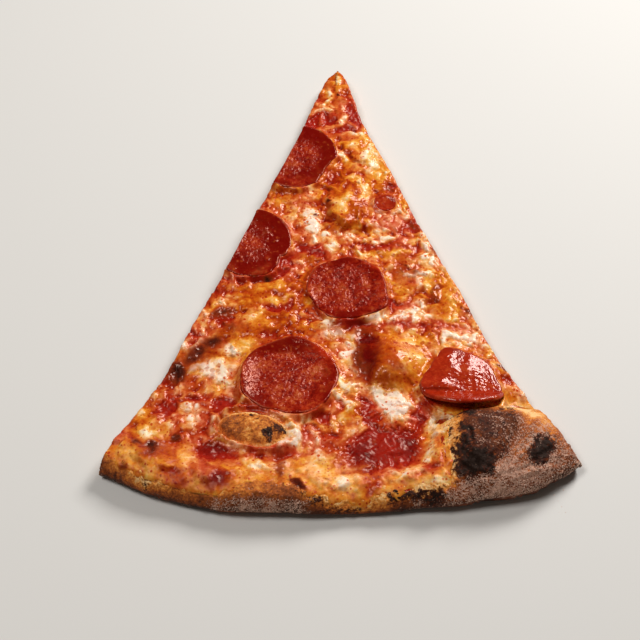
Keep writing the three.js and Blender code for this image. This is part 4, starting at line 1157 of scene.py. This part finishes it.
# How baked the rim is along its crown and along its front: degrees, and 0 raw to 1 burnt.
# Along the front it is also darkened as painted shade, the front facing away from the light.
CROWN_BAKED = ((-25, 0.58), (-22, 0.36), (-19.5, 0.18), (-15, 0.24), (-12, 0.28), (-10, 0.38),
               (-4, 0.5), (-2, 0.34), (0, 0.24), (4, 0.22), (8, 0.34), (26, 0.34))
EDGE_BAKED = ((-25, 0.44), (-22, 0.4), (-18, 0.3), (-12, 0.24), (-9, 0.32), (-6, 0.36), (-2, 0.2),
              (0, 0.1), (26, 0.1))
FRONT_BAKED_AND_SHADED = ((-25, 0.62), (-21, 0.46), (-17, 0.48), (-14, 0.5), (-12, 0.6), (-6, 0.68),
               (-2, 0.9), (1, 0.6), (4, 0.55), (7, 0.8), (11, 0.66), (16, 0.62), (26, 0.62))
FRONT_FLOUR = ((-25, 0), (-14, 0), (-10.5, 0.8), (-4, 0.8), (-2, 0.2), (0, 0), (6, 0.1), (9, 0.6),
               (12, 0.75), (26, 0.75))
# Places on the big blister that are paler or darker than the rest of it.
BLISTER_TONES = (
    (72, -184, 13, 4.6, -14, -0.62), (82, -192, 8, 5, -40, -0.3), (68, -206, 16, 2.6, 52, -0.18),
    (66, -216, 16, 2.4, 8, -0.2), (59, -192, 9, 9, -20, 0.26), (67, -192, 7, 6, 0, 0.06),
    (55, -203, 7, 9, 0, 0.2), (90, -200, 5, 8, 0, 0.1), (87, -203, 5, 5, 0, 0.12),
    (74, -195, 6, 5, 0, -0.1),
)
# Where more flour than elsewhere was left on its upper side.
FLOURY = ((69, -206, 16, 4, 52, 0.4), (66, -216, 16, 3, 8, 0.2), (76, -197, 9, 6, -30, 0.28))
CREASES = (
    (66, -206, 13, 1.0, 52, 0.8), (69.5, -205, 13, 0.9, 52, -0.8), (63, -207, 11, 0.9, 52, -0.7),
    (73, -198, 9, 0.9, 60, 0.5), (75, -212, 12, 1.1, 20, 0.5), (77, -209.5, 10, 0.9, 20, -0.5),
    (50.5, -197, 1.0, 6, 8, -0.9), (56, -201, 4, 1.0, -30, -0.5),
)


def char_of(x, y):
    warp_x = x + 1.2 * fractal(x, y, 4, 51, 4, 0.6)
    warp_y = y + 1.2 * fractal(x, y, 4, 57, 4, 0.6)
    return spread(CHAR, warp_x, warp_y, 0.8)


def crust_skin(x, y, turn, angle, char):
    """How baked and how floury the crust is at each point. On the front, how baked also carries
    painted shade.
    """
    past = past_cheese(x, y)
    early = smoothstep(angle, -14, -10)
    front = smoothstep(turn, lerp(0.4, 0.15, early), lerp(1.2, 0.95, early))
    blotches = fractal(x, y, 7, 61, 3)
    # along the front, how baked also paints shade where the front faces away from the light
    rim = lerp(around(CROWN_BAKED, angle), around(FRONT_BAKED_AND_SHADED, angle), front)
    blotches = blotches * lerp(1.8, 1, early)
    rim = lerp(around(EDGE_BAKED, angle), rim, smoothstep(past, 0, 7))
    rim = rim + 0.16 * blotches + 0.2 * smoothstep(turn, 1.2, 1.5)
    blister = 0.06 + 0.52 * smoothstep(past, 1.5, 8) + 0.14 * blotches
    blister = heap(blister, BLISTER_TONES, x, y)
    baked = lerp(rim, blister, swell(angle) * (1 - front))
    bubble = 0.27 + 0.22 * smoothstep(-x, 34, 44) + 0.1 * smoothstep(x, -31, -24)
    bubble = bubble + 0.14 * fractal(x, y, 3, 71)
    bubble = lerp(bubble, 0.04, smoothstep(ellipse(BUBBLE_TAN, x, y), 0.82, 1.06))
    baked = lerp(baked, bubble, smoothstep(-ellipse(BARE_BUBBLE, x, y), -1.15, -0.95))
    flour = (1 - front) * swell(angle) * 0.4 * smoothstep(past, 4, 12)
    flour = front * around(FRONT_FLOUR, angle) + flour
    flour = heap(flour, FLOURY, x, y)
    flour = flour * (1 - 0.9 * smoothstep(char, 0.5, 1.0))
    return baked, flour


def underside(x, y):
    """The same for the underside, which lay on the oven's floor: browned in spots."""
    spots, mark = cells(x + 2 * noise(x, y, 9, 73), y + 2 * noise(x, y, 9, 77), 13, 79)
    scorch = (mark > 0.4) * smoothstep(-spots, -0.42, -0.12)
    near_rim = smoothstep(np.hypot(x, y), 205, 222)
    return {
        "baked": 0.5 + 0.2 * near_rim + 0.2 * fractal(x, y, 12, 83) + 0.25 * scorch,
        "char": 0.55 * scorch * mark,
        "flour": 0.3 + 0.4 * fractal(x, y, 15, 87),
        "crumb": np.zeros_like(x),
    }


GRAINS = {"count": 1900, "smallest": 0.1, "largest": 0.24, "floury": 0.42}


def make_semolina(crust):
    """Coarse grains of the flour the dough was stretched on, stuck where the rim is floury."""
    draw = np.random.default_rng(17)
    floury = np.empty(len(crust.data.vertices), np.float32)
    crust.data.attributes["flour"].data.foreach_get("value", floury)
    where, facing = points(crust) / MM, normals(crust)
    within_reach = (where[:, 2] > GRAINS["largest"]) * (facing[:, 2] > -0.5)
    likely = np.maximum(floury - GRAINS["floury"], 0) * within_reach
    chosen = draw.choice(len(where), GRAINS["count"], replace=False, p=likely / likely.sum())
    deselect()
    bpy.ops.mesh.primitive_ico_sphere_add(subdivisions=1, radius=1)
    grain_piece = bpy.context.object
    ball = points(grain_piece)
    faces = np.array([face.vertices[:] for face in grain_piece.data.polygons])
    size = lerp(GRAINS["smallest"], GRAINS["largest"], draw.random((len(chosen), 1, 1)) ** 2)
    stretch = lerp(0.7, 1.3, draw.random((len(chosen), 1, 3)))
    middle = (where[chosen] + facing[chosen] * size[:, 0] * 0.4)[:, None]
    ball = ball / np.linalg.norm(ball, axis=1, keepdims=True)
    corners = (middle + ball * size * stretch).reshape(-1, 3)
    joined = faces + len(ball) * np.arange(len(chosen))[:, None, None]
    grain_piece.data.clear_geometry()
    grain_piece.data.from_pydata((corners * MM).tolist(), [], joined.reshape(-1, 3).tolist())
    grain_piece.name = grain_piece.data.name = "semolina_grains"
    grain_piece.data.materials.append(plain_finish("semolina", "#dcb8a2", 0.9))
    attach(grain_piece, "root")


# ---- sauce --------------------------------------------------------------------------------

SAUCE_GRID = 2.0
SAUCE_LENGTH = 218
SAUCE_MARGIN = 1.6
SAUCE_ENDS = (8, 3, 2)              # before the cheese's edge: it thins from, to, and ends
SAUCE_IN_DOUGH = 0.6                # its hidden underside lies inside the dough
SAUCE_UNDER_GRID = 5.0
FAR_APART = 300                     # and along a cut side of sauce or cheese, this far


def make_sauce(material):
    sauce = sheet("sauce_spread", SAUCE_GRID, SAUCE_LENGTH, SAUCE_MARGIN)
    refine(sauce, near_cut, FINER)
    u, down, beyond = fold_sheet(sauce, SAUCE_MARGIN)
    side = np.sign(u)
    x, y = plan_point(u, down)
    angle, radius = polar(x, y)
    edge = around(CHEESE_EDGE, angle)
    thins, thin, ends = SAUCE_ENDS
    top = dough_top(x, y) + lerp(SAUCE, -0.8, smoothstep(radius, edge - thins, edge - thin))
    ooze = 0.5 * fractal(down + side * FAR_APART, beyond * SAUCE_MARGIN, 4, 81, 3)
    x = x + side * (beyond > 0) * (ooze * np.sin(np.pi * beyond) + 0.1)
    z = top - beyond * (SAUCE + 0.5)
    move(sauce, x, y, z)
    drop(sauce, radius > edge - ends)
    close_under(sauce, lambda px, py: dough_top(px, py) - SAUCE_IN_DOUGH, SAUCE_UNDER_GRID)
    return finish_piece(sauce, material, "tomato_sauce")


# ---- cheese -------------------------------------------------------------------------------

CHEESE_GRID = 0.56
CHEESE_LENGTH = 226
CHEESE_MARGIN = 2.4
BLISTER_CLIMB = 3.5                 # how far a film of cheese runs up the big blister
LEFT_REACH = 3.0                    # and out over the rim on the left
EDGE_ROUND = 0.9                    # the upper edge of a cut side is rounded by this
THINNEST = 0.35                     # the cheese over the sauce, where it is thinnest
RUN_OUT = (-9, 0.5)                 # it thins out over this stretch across its own edge,
EDGE_THICK = 0.25                   # to this thickness,
TUCK = (0, 3)                       # and over this one it dives under the dough's skin,
TUCK_DEPTH = 1.6                    # this deep
DROP_PAST = 2.5                     # what lies further out than this is deleted
DRY_FROM = (198, 212)               # this far from the pie's centre it gets drier
BUBBLE_BANK = 2.6                   # it stands this high against the bare bubble,
FILM = 0.6                          # and covers the bubble's skirt this thick
SEATED = 0.3                        # how deep pepperoni sits below the cheese banked up to it
CHEESE_OVER_DOUGH = 0.3             # its hidden underside
HIDDEN_GRID = 6.0                   # and how coarse that is


def dish(spec, share, angle):
    """How far a slice of sausage cups up, from its middle (share 0) to its edge (share 1)."""
    phase = math.radians(spec["turn"])
    rim = smoothstep(share, 0.55, 1.05)
    cupped = spec["cup"] * rim * (1 + 0.5 * np.sin(3 * (angle + phase)))
    return cupped + spec.get("crown", 0) * (1 - share**2)


def seats(x, y):
    """How deep inside a pepperoni slice each point is, and the height of its underside."""
    inside = np.full_like(x, -99.0)
    under = np.full_like(x, 99.0)
    for spec in SLICES.values():
        dx, dy = x - spec["at"][0], y - spec["at"][1]
        away = np.hypot(dx, dy)
        tilt_x, tilt_y = (math.tan(math.radians(t)) for t in spec["tilt"])
        angle = np.arctan2(dy, dx)
        height = spec["z"] + dy * tilt_x - dx * tilt_y + dish(spec, away / spec["radius"], angle)
        depth = around(spec["outline"], np.degrees(angle)) - away
        under = np.where(depth > inside, height, under)
        inside = np.maximum(inside, depth)
    return inside, under


def cheese_makeup(x, y):
    """What the cheese is made of at each point. level runs from open sauce at 0 to thick and
    clean cheese at 1, rosy from oiled to mixed with sauce, and the rest are shares."""
    wx = x + 1.6 * noise(x, y, 7, 111) + 0.7 * noise(x, y, 2.6, 113)
    wy = y + 1.6 * noise(x, y, 7, 117) + 0.7 * noise(x, y, 2.6, 119)
    curd = fractal(wx, wy, 4.2, 121, 3, 0.6)
    seep = fractal(wx, wy, 3.4, 131, 3, 0.6)
    milk = spread(MILK + (BUBBLE_SKIRT,), wx, wy, 0.6)
    red = spread(RED, wx, wy, 0.6)
    orange = spread(ORANGE, wx, wy, 0.7)
    pale = spread(PALE_GOLD, wx, wy, 0.7)
    curds, mark = cells(wx, wy, 2.8, 123)
    curdled = spread(CURDLED, wx, wy, 0.6)
    dry = smoothstep(np.hypot(x, y), *DRY_FROM) * (1 - np.clip(1.2 * red, 0, 1))
    rough = (1 - 0.65 * spread(PUFFED, wx, wy, 0.5)) * (1 - 0.35 * dry)
    lump = (0.5 - curds) * (0.5 + mark) * (1 - 0.6 * red)
    level = 0.385 + 0.54 * milk - 0.5 * red - 0.16 * orange + 0.24 * pale
    level = heap(level, THICKER, wx, wy)
    level += rough * (0.3 * curd + 0.12 * seep + 0.24 * lump) + 0.66 * curdled * lump
    rosy = 0.45 + 0.5 * fractal(wx, wy, 8, 141, 2) + 0.5 * red
    rosy = rosy - 0.7 * orange - 0.5 * pale + 0.3 * curdled
    toast = spread(TOAST, wx, wy, 0.8)
    spots, mark = cells(wx, wy, 5.0, 151)
    toast = np.maximum(toast, 0.4 * (mark > 0.8) * smoothstep(-spots, -0.22, -0.05))
    return SimpleNamespace(
        wx=wx, wy=wy, curd=curd, lump=lump, rough=rough, red=red, level=level, rosy=rosy,
        # deep: painted shade on dark flanks and in creases, partly oil that browned
        toast=toast, dry=dry, deep=spread(GLAZED_AND_SHADED, wx, wy, 0.8),
        freckle=0.25 + 0.6 * spread(FRECKLED, wx, wy, 0.5))


def cheese_thickness(made, x, y):
    """The layer with its lobes, curds, bubbles and pools, and sunk where sauce shows."""
    wx, wy = made.wx, made.wy
    thick = heap(CHEESE + 0.54 * noise(x, y, 13, 161), CHEESE_LOBES, x, y)
    pool = smoothstep(made.level, 0.6, 1.0)
    open_sauce = smoothstep(-made.level, -0.32, 0.1)
    blister, mark = cells(wx, wy, 6.5, 171)
    bubbly = (mark > 0.45) * smoothstep(-blister, -0.5, -0.1)
    thick += 0.45 * fractal(wx, wy, 9, 127, 2) + 0.4 * pool - 0.6 * open_sauce
    thick += 0.2 * made.toast
    small = 0.12 * fractal(wx, wy, 1.9, 181, 2)
    thick += made.rough * (0.32 * made.curd + 0.32 * made.lump + small)
    thick += 0.35 * made.rough * bubbly * (1 - open_sauce)
    thick += open_sauce * 0.24 * fractal(wx, wy, 2.6, 191, 3)
    for lobe in OVERHANGS:
        thick = thick + overhang(lobe, wx, wy)
    return np.maximum(thick, THINNEST)


def over_bubble(z, curd, x, y):
    """Banks the cheese up against the bare bubble, and ends it where the bubble is bare."""
    bubble = dough_top(x, y) + bubble_rise(x, y)
    off_bubble = ellipse(BARE_BUBBLE, x, y) - 1
    z = z + BUBBLE_BANK * np.exp(-np.maximum(off_bubble, 0) / 0.13)
    film = np.maximum(bubble + FILM + 0.25 * curd, z - 1.5 * smoothstep(-off_bubble, 0, 0.25))
    z = np.where(off_bubble < 0, film, z)
    ragged_x, ragged_y = x + 0.8 * noise(x, y, 4, 201), y + 0.8 * noise(x, y, 4, 203)
    bare = smoothstep(-ellipse(BUBBLE_TAN, ragged_x, ragged_y), -1.1, -0.92)
    return lerp(z, bubble - 1.0, bare)


def under_pepperoni(z, x, y):
    """Banks the cheese up round each slice of sausage, and presses it down below."""
    inside, under = seats(x, y)
    lap = inside - 0.9 * np.clip(noise(x, y, 9, 231) + 0.1, -0.2, 1)
    bank = under + PEPPERONI - SEATED + 0.5 * noise(x, y, 4, 237)
    z = lerp(z, np.maximum(z, bank), np.exp(-((np.minimum(lap, 0) / 1.4) ** 2)))
    return lerp(z, np.minimum(z, under - 0.1), smoothstep(lap, 0.2, 1.1))


def make_cheese(material):
    cheese = sheet("cheese_melt", CHEESE_GRID, CHEESE_LENGTH, CHEESE_MARGIN)
    u, down, beyond = fold_sheet(cheese, CHEESE_MARGIN)
    side = np.sign(u)
    x, y = plan_point(u, down)
    angle, _ = polar(x, y)
    past = past_cheese(x + 1.5 * fractal(x, y, 7, 103), y + 1.5 * fractal(x, y, 7, 105))
    past -= 1.6 * fractal(x, y, 5, 101)
    past -= BLISTER_CLIMB * smoothstep(angle, 13.5, 15) + LEFT_REACH * smoothstep(-angle, 8, 12)
    made = cheese_makeup(x, y)

    # the upper side
    run_out = smoothstep(past, *RUN_OUT)
    thick = lerp(cheese_thickness(made, x, y), EDGE_THICK, run_out)
    base = dough_top(x, y) + lerp(LAYER_GAP + SAUCE, 0, smoothstep(past, RUN_OUT[0], -2))
    z = base + thick - TUCK_DEPTH * smoothstep(past, *TUCK)
    z = under_pepperoni(over_bubble(z, made.curd, x, y), x, y)

    # the cut sides: over a rounded edge, then down, with drips
    along = down + side * FAR_APART
    fall = beyond * CHEESE_MARGIN / EDGE_ROUND
    over = np.minimum(fall, 1) * np.pi / 2
    drip = np.clip(1.2 * fractal(along, beyond, 5, 211, 3), -0.5, 1.2)
    depth = np.maximum(z - base + LAYER_GAP + 0.2 + drip, 0.6)
    wall_z = z - np.minimum(EDGE_ROUND, depth) * (1 - np.cos(over))
    straight = np.clip((fall - 1) / (CHEESE_MARGIN / EDGE_ROUND - 1), 0, 1)
    wall_z -= np.maximum(0, depth - EDGE_ROUND) * straight
    reach = EDGE_ROUND * (np.sin(over) - 1) * (beyond > 0)
    bulge = 0.3 * fractal(along, beyond * CHEESE_MARGIN, 3.5, 221, 3)
    near = smoothstep(np.abs(u) * down * CUT_SLOPE, down * CUT_SLOPE - 6, down * CUT_SLOPE)
    shift = np.where(beyond > 0, reach, -EDGE_ROUND * near)
    shift = shift + bulge * np.sin(np.pi * beyond)
    move(cheese, x + side * shift, y, np.where(beyond > 0, wall_z, z))

    # what its finish reads: creamy where it runs out, and mixed where it was cut
    creamy = lerp(0.6, 0.74, smoothstep(angle, 8, 10)) + 0.16 * made.curd
    creamy = creamy - 0.25 * (made.red > 0.5)
    cut_face = smoothstep(beyond, 0.15, 0.5)
    mixed = 0.6 + 0.4 * fractal(along, beyond * CHEESE_MARGIN, 3, 241, 2)
    level = lerp(lerp(made.level, creamy, 0.8 * run_out), mixed, 0.6 * cut_face)
    toast = made.toast * (1 - cut_face)
    paint(cheese, level=level, rosy=np.clip(made.rosy * (1 - run_out), 0, 1), deep=made.deep,
          toast=toast, freckle=made.freckle, pulp=np.clip(1.3 * made.red - 0.3, 0, 1),
          dry=made.dry * (1 - np.clip(toast, 0, 1)))
    drop(cheese, past > DROP_PAST)
    close_under(cheese, lambda px, py: dough_top(px, py) + CHEESE_OVER_DOUGH, HIDDEN_GRID)
    return finish_piece(cheese, material, "melted_cheese")


# ---- pepperoni ------------------------------------------------------------------------------


def folded(fold, x, y, z):
    """Bends what lies beyond a line across the slice upwards, round a soft fold."""
    if not fold:
        return x, y, z
    full = math.radians(fold["angle"])
    beyond = np.maximum(fold["from"] - y, 0)
    angle = np.minimum(full, beyond / fold["bend"])
    straight = np.maximum(0, beyond - full * fold["bend"])
    out = (fold["bend"] - z) * np.sin(angle) + straight * np.cos(angle)
    up = fold["bend"] - (fold["bend"] - z) * np.cos(angle) + straight * np.sin(angle)
    return x, np.where(beyond > 0, fold["from"] - out, y), np.where(beyond > 0, up, z)


# A slice starts as a ball and is flattened. Of the way from its top pole to its lower one, its
# upper face takes the first share, its side runs to the second, and its underside the rest.
FACE_TO, SIDE_TO = 0.6, 0.74
SMALL_RADIUS = 10                   # smaller slices have fewer faces


def flattened(q, radius):
    """How far out and how high a point is, that was a share q of the way down the ball."""
    lip = PEPPERONI * 0.5
    side_turn = np.clip((q - FACE_TO) / (SIDE_TO - FACE_TO), 0, 1) * np.pi
    low_out = (1 - np.clip((q - SIDE_TO) / (1 - SIDE_TO), 0, 1)) * (radius - lip)
    out = np.where(q < SIDE_TO, radius - lip + lip * np.sin(side_turn), low_out)
    out = np.where(q < FACE_TO, q / FACE_TO * (radius - lip), out)
    z = np.where(q < SIDE_TO, lip + lip * np.cos(side_turn), 0)
    return out, np.where(q < FACE_TO, PEPPERONI, z)


def turned(x, y, angle):
    """A point turned in its plane, by an angle in radians."""
    return x * math.cos(angle) - y * math.sin(angle), x * math.sin(angle) + y * math.cos(angle)


def make_pepperoni(node, spec, seed, material):
    deselect()
    rings, around_it = (64, 200) if spec["radius"] > SMALL_RADIUS else (32, 80)
    bpy.ops.mesh.primitive_uv_sphere_add(segments=around_it, ring_count=rings, radius=1)
    piece = bpy.context.object
    piece.name = piece.data.name = node.replace("pepperoni", "sausage")
    x, y, z = points(piece).T
    angle = np.arctan2(y, x)
    q = np.arccos(np.clip(z, -1, 1)) / np.pi
    radius = spec["radius"]
    out, z = flattened(q, radius)
    share = out / radius
    wave = around(spec["outline"], np.degrees(angle)) / radius
    wave = wave + 0.008 * noise(x * 9, y * 9, 1, seed)
    px, py = np.cos(angle) * out * wave, np.sin(angle) * out * wave
    upper = (q < FACE_TO + 0.05).astype(float)
    relief = 0.28 * fractal(px + seed, py, 5, seed, 3)
    relief = relief + 0.12 * fractal(px, py + seed, 1.4, seed + 3, 2)
    relief = relief * (1 - 0.45 * spec.get("oily", 0))
    relief = relief * (1 - 0.8 * smoothstep(share, 0.7, 0.85))
    relief = heap(relief, spec.get("ridges", ()), px, py)
    z = z + dish(spec, share, angle) + upper * relief
    flat_x, flat_y = px, py
    px, py, z = folded(spec.get("fold"), px, py, z)
    tilt_x, tilt_y = (math.radians(t) for t in spec["tilt"])
    py, z = turned(py, z, tilt_x)
    px, z = turned(px, z, -tilt_y)
    move(piece, px + spec["at"][0], py + spec["at"][1], z + spec["z"])
    # dark: browned and darker red, partly painted shade where the cupped edge turns away from the
    # light
    dark = heap(np.zeros_like(share), spec.get("dark", ()), flat_x, flat_y)
    # painted light: a lighter red painted where the light falls on the slice
    glow = heap(np.zeros_like(share), spec.get("glow", ()), flat_x, flat_y)
    uneven = 0.25 * fractal(flat_x, flat_y, 6, seed + 7, 3)
    ring = smoothstep(0.8 * share + dark + uneven, 0.65, 1.3) * upper
    wet = heap(0.8 * spec.get("oily", 0), spec.get("ridges", ()), flat_x, flat_y)
    smooth = np.maximum(smoothstep(share + 0.5 * dark + uneven, 0.75, 1.1), np.minimum(wet, 0.9))
    rind = np.exp(-(((share - 0.975) / 0.015) ** 2))
    rind = rind * smoothstep(noise(flat_x, flat_y, 12, seed + 9), -0.1, 0.5) * upper
    paint(piece, ring=ring, smooth=smooth, glow=np.clip(glow, 0, 1), rind=rind)
    trim_at_cut(piece, spec)
    return finish_piece(piece, material, node)


CUT_IN = 0.5                        # how far a cut slice of sausage stays inside the cut


def trim_at_cut(piece, spec):
    """Cuts off what lies outside the slice, where the knife went through the sausage."""
    x, y = spec["at"]
    for side in (-1, 1):
        if side * (cut_x(side, -y) - x) > spec["radius"] + 1:
            continue
        ends = [Vector((float(cut_x(side, np.float64(down))) - side * CUT_IN, -down, 0))
                for down in (-y - 14, -y + 14)]
        along = ends[1] - ends[0]
        outwards = Vector((side * abs(along.y), side * along.x * (1 if along.y < 0 else -1), 0))
        deselect()
        bpy.context.view_layer.objects.active = piece
        piece.select_set(True)
        bpy.ops.object.mode_set(mode="EDIT")
        bpy.ops.mesh.select_all(action="SELECT")
        bpy.ops.mesh.bisect(plane_co=ends[0], plane_no=outwards.normalized(), use_fill=True,
                            clear_outer=True)
        bpy.ops.object.mode_set(mode="OBJECT")


# ---- the slice --------------------------------------------------------------------------------

make_semolina(make_crust(crust_finish()))
make_sauce(sauce_finish())
make_cheese(cheese_finish())
sausages = (sausage_finish("fried pepperoni", 0), sausage_finish("oily fried pepperoni", 1))
for number, (name, form) in enumerate(SLICES.items()):
    make_pepperoni(name, form, 300 + 20 * number, sausages[form.get("oily", 0)])

# ---- floor, light and camera ------------------------------------------------------------------

deselect()
bpy.ops.mesh.primitive_plane_add(size=3.0, location=(0, 0, 0))
floor = bpy.context.object
floor.name = "floor"
floor.data.materials.append(plain_finish("pale matte floor", "#d9d5cf", 0.8))

LOOK_AT = Vector((-6.457 + PIE_CENTRE[0], -132.504 + PIE_CENTRE[1], 0)) * MM
CAMERA_ELEVATION = math.radians(54.376)
CAMERA_AWAY = 728.77 * MM


def aim(thing, target):
    thing.rotation_euler = (target - thing.location).to_track_quat("-Z", "Y").to_euler()


def soft_light(name, place, size, power):
    lamp = bpy.data.lights.new(name, "AREA")
    lamp.shape = "RECTANGLE"
    lamp.size, lamp.size_y = size
    lamp.energy = power
    thing = bpy.data.objects.new(name, lamp)
    thing.location = place
    bpy.context.scene.collection.objects.link(thing)
    aim(thing, Vector((0, 0, 0)))


soft_light("key", (0.46, 0.56, 0.62), (0.35, 0.35), 9.0)
soft_light("fill", (-0.45, -0.1, 1.1), (0.4, 0.4), 6.4)

world = bpy.data.worlds.new("studio")
world.use_nodes = True
world.node_tree.nodes["Background"].inputs["Color"].default_value = colour("#fff6ea")
world.node_tree.nodes["Background"].inputs["Strength"].default_value = 0.08
bpy.context.scene.world = world

camera = bpy.data.objects.new("camera", bpy.data.cameras.new("camera"))
camera.data.lens = 100
camera.data.sensor_width = 36
camera.data.clip_start = 0.01
back = Vector((0, -math.cos(CAMERA_ELEVATION), math.sin(CAMERA_ELEVATION)))
camera.location = LOOK_AT + back * CAMERA_AWAY
bpy.context.scene.collection.objects.link(camera)
aim(camera, LOOK_AT)
bpy.context.scene.camera = camera
bpy.context.scene.view_settings.view_transform = "Standard"
